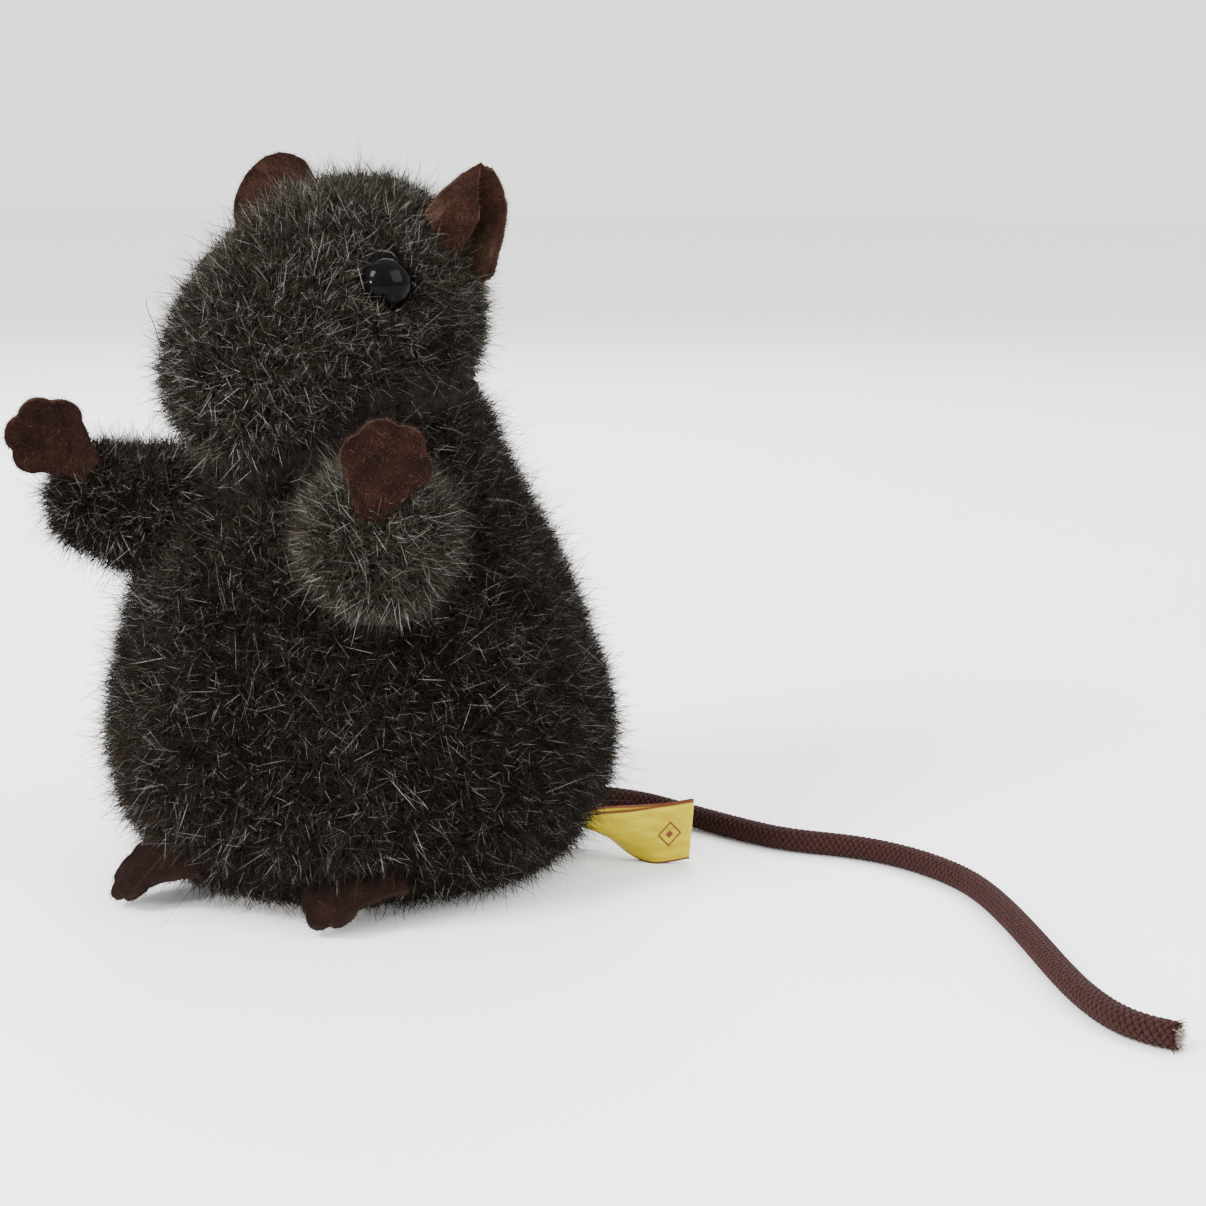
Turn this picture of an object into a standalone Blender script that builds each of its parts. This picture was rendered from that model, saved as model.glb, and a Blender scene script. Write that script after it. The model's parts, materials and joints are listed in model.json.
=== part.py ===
"""Plush mouse with a clockwork drive in its base.

The soft mouse is a stuffed pile skin with felt ears, hands and feet, two glass eyes and a
braided cord tail. A small clockwork movement stands on a tin base plate inside it. Sizes are
in millimetres here and turned into metres where a mesh is made. The mouse faces -Y, its left
side is +X, and the floor that it stands on is Z = 0.
"""

import math

import bmesh
import bpy
import numpy as np
from mathutils import Matrix, Vector

MM = 0.001
GAP = 0.3

# Skin and stuffing: radius and height of the pile's mean surface, from the base to the neck.
BODY_OUTLINE = (
    (36.0, 2.6), (39.4, 5.0), (43.6, 9.6), (46.8, 14.2), (48.8, 21.0), (49.2, 28.0), (48.3, 36.0),
    (45.9, 45.0), (43.0, 54.0), (39.3, 63.0), (35.2, 71.0), (31.4, 78.0), (28.9, 84.0), (27.2, 88.5),
    (24.5, 92.5), (20.0, 95.5),
)
# The body leans forward by this much above its hips.
LEAN = 2.5
LEAN_FROM, LEAN_TO = 25.0, 60.0
SKIN = 5.0
HEAD_TURN = -4.0
# Head sections from the nape to the nose: forward distance, centre height, half width, half height.
HEAD_SECTIONS = (
    (-22.5, 107.0, 9.5, 10.5), (-17.5, 107.0, 18.0, 19.0), (-9.0, 107.0, 24.0, 24.6),
    (0.0, 106.3, 26.6, 26.4), (10.0, 104.9, 26.6, 25.8), (19.0, 102.4, 24.4, 23.5),
    (27.5, 99.9, 21.0, 20.2), (34.5, 97.6, 17.0, 16.6), (39.0, 96.4, 12.0, 12.0),
)
HEAD_BACK = -24.8
HEAD_NOSE = 42.0

# Arms: direction from straight ahead, shoulder radius and height, and each stub's own sizes. The
# right arm is the slimmer one and points up a little.
ARM_ANGLE = 43.0
SHOULDER_R = 39.5
SHOULDER_Z = 71.0
ARM_ROOT_R = 14.0
ARM_ENDS = {"left": (14.4, 5.5, 0.0), "right": (11.6, 8.0, 0.26)}

# Where each hand is sewn in, how it runs and where it faces: reach, across, up in its arm's directions.
HAND_PLACES = {
    "left": ((16.4, -2.5, 5.5), (0.16, 0.30, 0.93), (1.0, 0.0, 0.0)),
    "right": ((9.9, 7.6, 8.8), (0.77, 0.12, 0.62), (0.25, 1.0, 0.0)),
}
HAND_LENGTH, HAND_WIDTH, HAND_ROOT = 17.5, 15.5, 4.0
# Where each foot is sewn in, and its tip.
FOOT_ENDS = {
    "left": ((31.0, -28.5, 10.6), (18.4, -40.8, 4.2)),
    "right": ((-4.5, -40.6, 10.8), (-22.8, -46.0, 4.3)),
}
FOOT_WIDTH, FOOT_ROOT = 13.0, 9.5
FOOT_FACE = (0.35, -0.45, 0.82)

# Each ear's base and rim in the head's directions: forward, left, height. The left ear is
# folded round at its front and the right one stands open.
EAR_BASES = {
    "left": ((-3.0, 22.0, 117.0), (0.5, 20.4, 121.4), (0.2, 18.2, 125.0), (-5.5, 16.8, 125.2),
             (-9.5, 18.8, 119.0), (-7.5, 21.8, 111.0)),
    "right": ((0.0, -23.3, 116.5), (-1.0, -22.3, 118.8), (-3.0, -20.5, 121.0), (-5.5, -19.0, 122.6),
              (-8.5, -17.3, 123.8), (-11.0, -15.5, 124.0)),
}
EAR_RIMS = {
    "left": ((-5.0, 26.2, 124.0), (-4.6, 26.2, 129.5), (-6.5, 26.3, 134.2), (-9.3, 27.4, 131.0),
             (-10.3, 28.2, 124.7), (-8.2, 26.4, 113.8)),
    "right": ((3.6, -26.5, 118.5), (3.4, -28.0, 124.1), (1.6, -28.0, 129.8), (-3.5, -27.0, 134.6),
              (-8.2, -25.5, 135.6), (-11.1, -23.0, 134.0)),
}
EAR_BELLY = 1.6

FELT = 1.6
EYE_R = 4.6
EYE_ANGLE = 55.0
EYE_Z = 113.3
EYE_SEAT = 26.4
EYE_UP = 0.12
SHANK_R, SHANK_END = 1.1, -10.5
WASHER_R = 4.2
WHISKER_R = 0.16
WHISKER_ROUTE = (
    (33.3, -13.2, 99.4), (34.5, -15.4, 102.0), (34.8, -16.8, 105.5), (35.7, -17.3, 108.2),
    (36.1, -17.2, 110.4),
)

# Clockwork: all arbors lie along X. Places are (Y, Z).
PLATE_X = 12.0
PLATE_T = 1.0
WIND_AT = (14.0, 32.0)
GREAT_TEETH, GREAT_MODULE = 48, 0.6
SECOND_PINION_TEETH = 10
SECOND_TEETH, TRAIN_MODULE = 30, 0.5
DRIVE_PINION_TEETH = 12
THIRD_TEETH = 24
GOVERNOR_PINION_TEETH = 8
SECOND_DIRECTION = -119.7
DRIVE_DIRECTION = -51.8
GOVERNOR_DIRECTION = 23.1
RATCHET_TEETH = 12
WHEEL_X = 17.0
WHEEL_W = 5.0
KEY_X = -57.0
ROLLER_AT = (-24.0, 6.5)
BASE_Z = 3.0
BASE_T = 1.2
BASE_R = 34.2
SCREWS = {"front_base_screw": -3.5, "rear_base_screw": 25.4}
PILLARS = {"front_pillar": (-3.4, 36.0), "lower_pillar": (-3.6, 12.2), "rear_pillar": (24.8, 18.6)}
COVER_SIZE = ((-22.0, -7.6, 4.5), (22.0, 30.3, 49.6))
COVER_T = 0.9
FLY_R, FLY_SLEEVE_R = 4.8, 1.9
FLY_X = (-4.5, 4.0)
HUB_R = 5.8
SPRING_TURNS, SPRING_T, SPRING_W = 5.0, 0.4, 6.0
SPRING_R = (2.9, 12.0)
RATCHET_R = (3.6, 4.9, 4.3)
BOW_REACH, BOW_T = 8.4, 1.6
KEY_TUBE_R = 2.9

# The tail's route, from its anchor in the body to its cut end on the floor.
TAIL_R = 2.35
ANCHOR_R, ANCHOR_T = 3.0, 1.6
TAIL_ROUTE = (
    (14.6, 36.2, 6.5), (18.4, 39.8, 6.4), (22.5, 43.4, 6.1), (27.0, 47.0, 5.5), (31.5, 50.2, 4.6),
    (36.0, 52.3, 3.6), (41.0, 53.2, 2.8), (46.0, 53.0, 2.45), (51.5, 52.0, 2.4), (57.0, 51.0, 2.4),
    (62.4, 50.3, 2.4), (67.3, 50.4, 2.4), (71.8, 51.2, 2.4), (76.0, 52.1, 2.4), (80.5, 52.7, 2.4),
    (85.3, 52.7, 2.4), (90.4, 52.0, 2.4), (95.8, 50.5, 2.4), (101.4, 48.1, 2.4), (107.6, 44.3, 2.4),
    (114.8, 37.9, 2.4), (122.7, 29.3, 2.4), (130.9, 19.6, 2.4), (138.7, 10.1, 2.4), (145.5, 2.3, 2.4),
    (151.4, -3.3, 2.4), (156.5, -6.8, 2.4), (161.2, -8.4, 2.4), (166.0, -8.7, 2.4),
)

LABEL_ROOT = (34.6, 21.6, 7.8)
LABEL_RUN = (0.83, 0.48, -0.07)
LABEL_FACE = (0.6, -0.8, 0.0)
LABEL_OUTLINE = (
    (-1.6, 0.0), (1.6, 0.0), (2.6, 5.0), (5.6, 11.0), (5.9, 22.5), (-5.9, 22.5), (-5.6, 11.0),
    (-2.6, 5.0),
)
LABEL_T = 1.4

PILE = ((0.040, 0.036, 0.030), 0.95, 0.0)
WADDING = ((0.060, 0.055, 0.050), 1.0, 0.0)
BROWN_FELT = ((0.040, 0.015, 0.010), 0.95, 0.0)
BRASS = ((0.72, 0.53, 0.24), 0.35, 1.0)
STEEL = ((0.55, 0.56, 0.58), 0.35, 1.0)
TINPLATE = ((0.62, 0.62, 0.60), 0.4, 1.0)
CARD = ((0.45, 0.36, 0.25), 0.9, 0.0)
RUBBER = ((0.03, 0.03, 0.03), 0.8, 0.0)

for old in list(bpy.data.objects):
    bpy.data.objects.remove(old, do_unlink=True)

mouse = bpy.data.objects.new("mouse", None)
bpy.context.collection.objects.link(mouse)


# ---- Making shapes ----------------------------------------------------------------------------

def pivot(name, place, parent=mouse):
    """An empty on a joint's axis, at a place in millimetres in the mouse's own frame."""
    empty = bpy.data.objects.new(name, None)
    bpy.context.collection.objects.link(empty)
    empty.parent = parent
    empty["place"] = place
    start = parent["place"] if "place" in parent else (0.0, 0.0, 0.0)
    empty.location = (Vector(place) - Vector(start)) * MM
    return empty


def make(name, shape, finish, parent=mouse, smooth=True):
    """A named object from a bmesh in millimetres, hung on its parent empty."""
    start = parent["place"] if "place" in parent else (0.0, 0.0, 0.0)
    bmesh.ops.recalc_face_normals(shape, faces=shape.faces)
    moved = Matrix.Scale(MM, 4) @ Matrix.Translation(-Vector(start))
    bmesh.ops.transform(shape, matrix=moved, verts=shape.verts)
    mesh = bpy.data.meshes.new(name)
    shape.to_mesh(mesh)
    shape.free()
    if smooth:
        mesh.shade_smooth()
        mesh.set_sharp_from_angle(angle=math.radians(40))
    thing = bpy.data.objects.new(name, mesh)
    bpy.context.collection.objects.link(thing)
    thing.parent = parent
    if finish:
        colour, roughness, metallic = finish
        material = bpy.data.materials.new(name)
        material.use_nodes = True
        surface = material.node_tree.nodes["Principled BSDF"]
        surface.inputs["Base Color"].default_value = (*colour, 1.0)
        surface.inputs["Roughness"].default_value = roughness
        surface.inputs["Metallic"].default_value = metallic
        mesh.materials.append(material)
    return thing


def cut(thing, *shapes):
    """Boolean differences with shapes that stay hidden."""
    for number, shape in enumerate(shapes):
        tool = make(f"{thing.name}_cutter_{number}", shape, None)
        tool.hide_render = True
        tool.display_type = "WIRE"
        knife = thing.modifiers.new(tool.name, "BOOLEAN")
        knife.operation = "DIFFERENCE"
        knife.solver = "EXACT"
        knife.object = tool


def join(thing, name, shape, parent):
    """Boolean union with a shape that stays hidden."""
    tool = make(name, shape, None, parent)
    tool.hide_render = True
    tool.display_type = "WIRE"
    joined = thing.modifiers.new(name, "BOOLEAN")
    joined.operation = "UNION"
    joined.solver = "EXACT"
    joined.object = tool


def axis_frame(origin, direction):
    """A matrix whose local Z runs along the direction from the origin."""
    turn = Vector(direction).to_track_quat("Z", "Y").to_matrix().to_4x4()
    return Matrix.Translation(Vector(origin)) @ turn


def along_x(place, x=0.0):
    """A frame whose local Z is world +X and whose local X and Y are world Y and Z."""
    turn = Matrix(((0, 0, 1), (1, 0, 0), (0, 1, 0))).to_4x4()
    return Matrix.Translation((x, place[0], place[1])) @ turn


def turned(profile, segments, frame=Matrix.Identity(4), ring=False):
    """A solid turned about the frame's Z from (radius, height) points; ring closes the profile."""
    shape = bmesh.new()
    rows = []
    for radius, height in profile:
        if radius < 1e-6:
            rows.append([shape.verts.new(frame @ Vector((0, 0, height)))])
            continue
        row = []
        for k in range(segments):
            a = math.tau * k / segments
            row.append(shape.verts.new(frame @ Vector((radius * math.cos(a), radius * math.sin(a), height))))
        rows.append(row)
    pairs = list(zip(rows, rows[1:]))
    if ring:
        pairs.append((rows[-1], rows[0]))
    for low, high in pairs:
        for k in range(segments):
            n = (k + 1) % segments
            corners = [low[k % len(low)], low[n % len(low)], high[n % len(high)], high[k % len(high)]]
            face = list(dict.fromkeys(corners))
            if len(face) > 2:
                shape.faces.new(face)
    return shape


def rod(radius, start, end, segments=12):
    """A plain round rod between two points."""
    length = (Vector(end) - Vector(start)).length
    profile = ((0, 0), (radius, 0), (radius, length), (0, length))
    return turned(profile, segments, axis_frame(start, Vector(end) - Vector(start)))


def block(low, high):
    shape = bmesh.new()
    bmesh.ops.create_cube(shape, size=1.0)
    low, high = Vector(low), Vector(high)
    sizes = Matrix.Diagonal((*(high - low), 1.0))
    bmesh.ops.transform(shape, matrix=Matrix.Translation((low + high) / 2) @ sizes, verts=shape.verts)
    return shape


def sheet(loops, thickness, frame):
    """A flat piece, with holes, from outlines in the frame's XY plane, extruded along its Z."""
    shape = bmesh.new()
    for loop in loops:
        corners = [shape.verts.new((x, y, 0)) for x, y in loop]
        for a, b in zip(corners, corners[1:] + corners[:1]):
            shape.edges.new((a, b))
    bmesh.ops.triangle_fill(shape, edges=shape.edges, use_beauty=True, normal=(0, 0, 1))
    grown = bmesh.ops.extrude_face_region(shape, geom=shape.faces[:])["geom"]
    top = [item for item in grown if isinstance(item, bmesh.types.BMVert)]
    bmesh.ops.translate(shape, vec=(0, 0, thickness), verts=top)
    bmesh.ops.transform(shape, matrix=frame, verts=shape.verts)
    return shape


def circle(radius, centre=(0.0, 0.0), count=12):
    angles = [math.tau * k / count for k in range(count)]
    return [(centre[0] + radius * math.cos(a), centre[1] + radius * math.sin(a)) for a in angles]


def smooth_run(points, count):
    """Evenly spaced points on a smooth curve through the given ones."""
    points = [np.array(p, float) for p in points]
    ends = [2 * points[0] - points[1], *points, 2 * points[-1] - points[-2]]
    dense = []
    for a, b, c, d in zip(ends, ends[1:], ends[2:], ends[3:]):
        for t in np.arange(0, 1, 0.05):
            dense.append(0.5 * (2 * b + (c - a) * t + (2 * a - 5 * b + 4 * c - d) * t**2
                                + (3 * b - a - 3 * c + d) * t**3))
    dense.append(points[-1])
    dense = np.array(dense)
    run = np.concatenate(([0], np.cumsum(np.linalg.norm(np.diff(dense, axis=0), axis=1))))
    marks = np.linspace(0, run[-1], count)
    return np.stack([np.interp(marks, run, dense[:, k]) for k in range(3)], axis=1)


def felt_leaf(rows, thickness):
    """A closed leaf of even thickness about a grid of points."""
    grid = np.array(rows, float)
    across = np.gradient(grid, axis=1)
    up = np.gradient(grid, axis=0)
    normal = np.cross(across, up)
    normal /= np.linalg.norm(normal, axis=2, keepdims=True)
    shape = bmesh.new()
    sides = [
        [[shape.verts.new(p) for p in row] for row in grid + normal * thickness * half]
        for half in (-0.5, 0.5)
    ]
    high, wide = grid.shape[:2]
    for side in sides:
        for i in range(high - 1):
            for j in range(wide - 1):
                shape.faces.new((side[i][j], side[i][j + 1], side[i + 1][j + 1], side[i + 1][j]))
    rim = [(0, j) for j in range(wide)] + [(i, wide - 1) for i in range(1, high)]
    rim += [(high - 1, j) for j in range(wide - 2, -1, -1)] + [(i, 0) for i in range(high - 2, 0, -1)]
    for (a, b), (c, d) in zip(rim, rim[1:] + rim[:1]):
        shape.faces.new((sides[0][a][b], sides[0][c][d], sides[1][c][d], sides[1][a][b]))
    return shape


# ---- Skins and stuffing -----------------------------------------------------------------------

def inset(outline, distance):
    """The outline moved inwards, square to itself."""
    points = np.array(outline)
    run = np.gradient(points, axis=0)
    run /= np.linalg.norm(run, axis=1, keepdims=True)
    return [tuple(p) for p in points + distance * np.stack([-run[:, 1], run[:, 0]], axis=1)]


def leaned(shape):
    """Moves the upper body forward, smoothly from the hips."""
    for corner in shape.verts:
        share = min(max((corner.co.z - LEAN_FROM) / (LEAN_TO - LEAN_FROM), 0.0), 1.0)
        corner.co.y -= LEAN * share * share * (3 - 2 * share)
    return shape


def body_solid(depth, bottom, top, segments=28):
    """The solid inside the body's surface at a depth, between two heights."""
    side = [(r, z) for r, z in inset(BODY_OUTLINE, depth) if bottom + 1 < z < top - 1]
    profile = [(0, bottom), (side[0][0] - 1.5, bottom), *side, (side[-1][0] - 2, top), (0, top)]
    return leaned(turned(profile, segments))


head_frame = Matrix.Rotation(math.radians(HEAD_TURN), 4, "Z")


def head_point(forward, left, height):
    """A point given in the head's own directions."""
    return head_frame @ Vector((left, -forward, height))


def head_solid(depth, segments=26):
    """The head's outer form, or the form inside it at a depth under its surface."""
    shape = bmesh.new()
    rings = []
    for forward, height, wide, high in HEAD_SECTIONS:
        slope = 1.0 - depth / 32.0
        ring = []
        for k in range(segments):
            a = math.tau * k / segments
            place = head_point(10 + (forward - 10) * slope, (wide - depth) * math.cos(a),
                               height + (high - depth) * math.sin(a))
            ring.append(shape.verts.new(place))
        rings.append(ring)
    for low, high in zip(rings, rings[1:]):
        for k in range(segments):
            n = (k + 1) % segments
            shape.faces.new((low[k], low[n], high[n], high[k]))
    ends = ((HEAD_BACK + depth, 107.0, rings[0]), (HEAD_NOSE - depth, 98.0, rings[-1]))
    for forward, height, ring in ends:
        pole = shape.verts.new(head_point(forward, 0, height))
        for k in range(segments):
            shape.faces.new((ring[k], ring[(k + 1) % segments], pole))
    return shape


body_wall = list(BODY_OUTLINE) + inset(BODY_OUTLINE, SKIN)[::-1]
body_skin = make("body_skin", leaned(turned(body_wall, 36, ring=True)), PILE)
body_stuffing = make("body_stuffing", body_solid(SKIN + GAP, BASE_Z + BASE_T + GAP, 88.4), WADDING)
head_skin = make("head_skin", head_solid(0.0), PILE)
collar = [(0, 62.0), *inset(BODY_OUTLINE, -GAP)[-7:], (0, 96.0)]
cut(head_skin, head_solid(SKIN), leaned(turned(collar, 36)))
head_stuffing = make("head_stuffing", head_solid(SKIN + GAP), WADDING)
cut(head_stuffing, leaned(turned(collar, 36)))


# ---- Arms: a soft stub with a ball root, on a sewn shoulder that bends up and down --------------

def arm_profile(depth, end_r, end_reach):
    """The stub's outline from its tip to its open root, as (radius, reach)."""
    tip = [math.radians(a) for a in (90, 70, 50, 30, 10)]
    root = [math.radians(a) for a in (-10, -30, -45, -60)]
    end_r, root_r = end_r - depth, ARM_ROOT_R - depth
    points = [(end_r * math.cos(a), end_reach + end_r * math.sin(a)) for a in tip]
    points[0] = (0.0, end_reach + end_r)
    return points + [(root_r * math.cos(a), root_r * math.sin(a)) for a in root]


def paw_outline(length, width, root, lobes=4):
    """A felt paw: a narrow root that widens to a scalloped end, along +Y from the origin."""
    middle = length - width / 2
    outline = [(-root / 2, 0.0), (root / 2, 0.0)]
    steps = 6 * lobes
    for k in range(steps + 1):
        a = math.radians(-25 + 230 * k / steps)
        bulge = 0.87 + 0.13 * abs(math.sin(math.pi * lobes * k / steps)) ** 0.7
        outline.append((width / 2 * bulge * math.cos(a), middle + width / 2 * bulge * math.sin(a)))
    return outline


def leaf_frame(root, along, facing):
    """A frame with Y along the leaf and Z square to its face."""
    y = Vector(along).normalized()
    z = (Vector(facing) - Vector(facing).dot(y) * y).normalized()
    turn = Matrix((y.cross(z), y, z)).transposed().to_4x4()
    return Matrix.Translation(Vector(root)) @ turn


def paw(length, width, root, frame, play=0.0):
    """A felt paw, or with play the slit that it sits in."""
    grown = [(x * (1 + 2 * play / width), y * (1 + 2 * play / length) - play)
             for x, y in paw_outline(length, width, root + play)]
    return sheet([grown], FELT + 2 * play, frame @ Matrix.Translation((0, 0, -FELT / 2 - play)))


arm_ways = {"left": math.radians(ARM_ANGLE - 90), "right": math.radians(-90 - ARM_ANGLE)}
for side, way in arm_ways.items():
    reach = Vector((math.cos(way), math.sin(way), 0))
    across = Vector((-reach.y, reach.x, 0))
    shoulder = Vector((SHOULDER_R * reach.x, SHOULDER_R * reach.y, SHOULDER_Z))
    swing = pivot(f"{side}_shoulder", tuple(shoulder))
    end_r, end_reach, rise = ARM_ENDS[side]
    frame = axis_frame(shoulder, reach + Vector((0, 0, rise)))
    outer, inner = arm_profile(0.0, end_r, end_reach), arm_profile(SKIN, end_r, end_reach)
    arm_skin = make(f"{side}_arm_skin", turned(outer + inner[::-1], 26, frame), PILE, swing)
    fill = arm_profile(SKIN + GAP, end_r, end_reach)
    fill.append((0.0, fill[-1][1]))
    make(f"{side}_arm_stuffing", turned(fill, 20, frame), WADDING, swing)
    root, run, face = (
        reach * v[0] + across * v[1] + Vector((0, 0, v[2])) for v in HAND_PLACES[side]
    )
    hand = leaf_frame(shoulder + root, run, face)
    hand_shape = paw(HAND_LENGTH, HAND_WIDTH, HAND_ROOT, hand)
    make(f"{side}_hand", hand_shape, BROWN_FELT, swing, smooth=False)
    cut(arm_skin, paw(HAND_LENGTH, HAND_WIDTH, HAND_ROOT, hand, GAP))
    hollow_r = ARM_ROOT_R + 0.4
    hollow = [(0.0, -hollow_r)]
    for a in np.radians((-75, -55, -35, -15, 0)):
        hollow.append((hollow_r * math.cos(a), hollow_r * math.sin(a)))
    hollow += [(max(end_r + 2.4, hollow_r), end_reach), (0.0, end_reach + 4)]
    cut(body_skin, turned(hollow, 26, frame))
    cut(body_stuffing, turned(hollow, 26, frame))


# ---- Felt feet --------------------------------------------------------------------------------

for side, (root, tip) in FOOT_ENDS.items():
    run = Vector(tip) - Vector(root)
    frame = leaf_frame(root, run, FOOT_FACE)
    make(f"{side}_foot", paw(run.length, FOOT_WIDTH, FOOT_ROOT, frame), BROWN_FELT, smooth=False)
    for thing in (body_skin, body_stuffing):
        cut(thing, paw(run.length, FOOT_WIDTH, FOOT_ROOT, frame, GAP))


# ---- Felt ears: a leaf folded forward over a cup ------------------------------------------------

def ear_leaf(side, thickness, play=0.0):
    """An ear, or with play the slit that it is sewn into."""
    base = smooth_run(EAR_BASES[side], 11)
    rim = smooth_run(EAR_RIMS[side], 11)
    for run in (base, rim):
        run[0] += (run[0] - run[1]) * play
        run[-1] += (run[-1] - run[-2]) * play
    belly = np.sin(np.linspace(0, math.pi, 11))[:, None] * np.array((0.7, 0.0, 0.7)) * EAR_BELLY
    rows = []
    for t in (-0.12 * play, 0.35, 0.7, 1.0):
        row = base * (1 - t) + rim * t + belly * max(math.sin(math.pi * t), 0.0)
        rows.append([tuple(head_point(*place)) for place in row])
    return felt_leaf(rows, thickness)


for side in ("left", "right"):
    make(f"{side}_ear", ear_leaf(side, FELT), BROWN_FELT)
    cut(head_skin, ear_leaf(side, FELT + 2 * GAP, 0.4))


# ---- Eyes on shanks, held by washers inside the skin --------------------------------------------

for name, side in (("left_eye", 1), ("right_eye", -1)):
    turn = math.radians(EYE_ANGLE) * side
    forward = Vector((math.sin(turn), -math.cos(turn), EYE_UP)).normalized()
    outward = (head_frame.to_3x3() @ forward).normalized()
    seat = head_frame @ Vector((EYE_SEAT * math.sin(turn), -EYE_SEAT * math.cos(turn), EYE_Z))
    frame = axis_frame(seat, outward)
    dome = [(EYE_R * math.sin(a), EYE_R * (0.8 * math.cos(a) - 0.1)) for a in np.radians(range(0, 91, 15))]
    back = [(EYE_R * 0.8, -1.2), (SHANK_R, -1.6), (SHANK_R, SHANK_END), (0.0, SHANK_END)]
    make(name, turned(dome + back, 20, frame), ((0.01, 0.01, 0.01), 0.04, 0.0))
    bore_r = SHANK_R + GAP
    washer = ((bore_r, -8.2), (WASHER_R, -8.2), (WASHER_R, -9.4), (bore_r, -9.4))
    make(f"{name}_washer", turned(washer, 14, frame, ring=True), ((0.8, 0.8, 0.78), 0.5, 0.0))
    socket = ((0, 12), (EYE_R + GAP, 12), (EYE_R + GAP, -1.6), (bore_r, -1.9), (bore_r, -7.0),
              (WASHER_R + 2 * GAP, -7.0), (WASHER_R + 2 * GAP, -12), (0, -12))
    cut(head_skin, turned(socket, 20, frame))
    cut(head_stuffing, turned(socket, 20, frame))


# ---- Whisker: one nylon bristle, on the right of the nose ------------------------------------------

WHISKER_RINGS = 8
whisker_run = smooth_run([tuple(head_point(*place)) for place in WHISKER_ROUTE], WHISKER_RINGS)
shape = bmesh.new()
rings = []
for k, place in enumerate(whisker_run):
    ahead = whisker_run[min(k + 1, WHISKER_RINGS - 1)] - whisker_run[max(k - 1, 0)]
    frame = axis_frame(place, ahead)
    rings.append([shape.verts.new(frame @ Vector((x, y, 0))) for x, y in circle(WHISKER_R, count=4)])
for low, high in zip(rings, rings[1:]):
    for k in range(4):
        shape.faces.new((low[k], low[(k + 1) % 4], high[(k + 1) % 4], high[k]))
shape.faces.new(rings[0])
shape.faces.new(rings[-1][::-1])
make("right_whisker", shape, ((0.05, 0.05, 0.05), 0.4, 0.0))
whisker_in = whisker_run[0] - (whisker_run[1] - whisker_run[0])
cut(head_skin, rod(WHISKER_R + 2 * GAP, whisker_in, whisker_run[3], 8))


# ---- Tail: a braided cord from an anchor in the body, and a ribbon label beside it ----------------

tail_points = smooth_run(TAIL_ROUTE, 48)
spline_data = bpy.data.curves.new("tail_cord", "CURVE")
spline_data.dimensions = "3D"
spline_data.bevel_depth = TAIL_R * MM
spline_data.bevel_resolution = 2
spline_data.use_fill_caps = True
spline = spline_data.splines.new("POLY")
spline.points.add(len(tail_points) - 1)
for point, place in zip(spline.points, tail_points):
    point.co = (*(place * MM), 1.0)
tail = bpy.data.objects.new("tail_cord", spline_data)
bpy.context.collection.objects.link(tail)
tail.parent = mouse
tail_material = bpy.data.materials.new("tail_cord")
tail_material.use_nodes = True
tail_surface = tail_material.node_tree.nodes["Principled BSDF"]
tail_surface.inputs["Base Color"].default_value = (0.035, 0.010, 0.008, 1.0)
tail_surface.inputs["Roughness"].default_value = 0.8
spline_data.materials.append(tail_material)

tail_start = Vector(TAIL_ROUTE[0])
tail_way = (Vector(TAIL_ROUTE[1]) - tail_start).normalized()
anchor_front = tail_start - tail_way * GAP
anchor_back = anchor_front - tail_way * ANCHOR_T
make("tail_anchor", rod(ANCHOR_R, anchor_back, anchor_front, 14), ((0.75, 0.73, 0.68), 0.7, 0.0))
for thing in (body_skin, body_stuffing):
    cut(thing,
        rod(TAIL_R + GAP + 0.1, tail_start - tail_way, tail_start + tail_way * 14, 16),
        rod(ANCHOR_R + GAP, anchor_back - tail_way * GAP, tail_start + tail_way * 0.05, 16))


def label_leaf(play):
    """The folded label, or with play the slit that it is sewn into."""
    frame = leaf_frame(LABEL_ROOT, LABEL_RUN, LABEL_FACE)
    grown = [(x + math.copysign(play, x), y + math.copysign(play, y - 1)) for x, y in LABEL_OUTLINE]
    return sheet([grown], LABEL_T + 2 * play, frame @ Matrix.Translation((0, 0, -LABEL_T / 2 - play)))


make("label_ribbon", label_leaf(0.0), ((0.83, 0.72, 0.10), 0.6, 0.0), smooth=False)
cut(body_skin, label_leaf(GAP))


# ---- Base plate, movement cover and frame ---------------------------------------------------------

BASE_TOP = BASE_Z + BASE_T


def stepped(start, direction, distance):
    angle = math.radians(direction)
    return (start[0] + distance * math.cos(angle), start[1] + distance * math.sin(angle))


SECOND_AT = stepped(WIND_AT, SECOND_DIRECTION, GREAT_MODULE * (GREAT_TEETH + SECOND_PINION_TEETH) / 2)
DRIVE_AT = stepped(SECOND_AT, DRIVE_DIRECTION, TRAIN_MODULE * (SECOND_TEETH + DRIVE_PINION_TEETH) / 2)
GOVERNOR_AT = stepped(DRIVE_AT, GOVERNOR_DIRECTION, TRAIN_MODULE * (THIRD_TEETH + GOVERNOR_PINION_TEETH) / 2)
WHEEL_R = DRIVE_AT[1]


def floor_slot(x_low, x_high, middle_y, half_length):
    """A slot through the base plate that a wheel runs in."""
    return block((x_low, middle_y - half_length, 0), (x_high, middle_y + half_length, 6))


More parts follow.
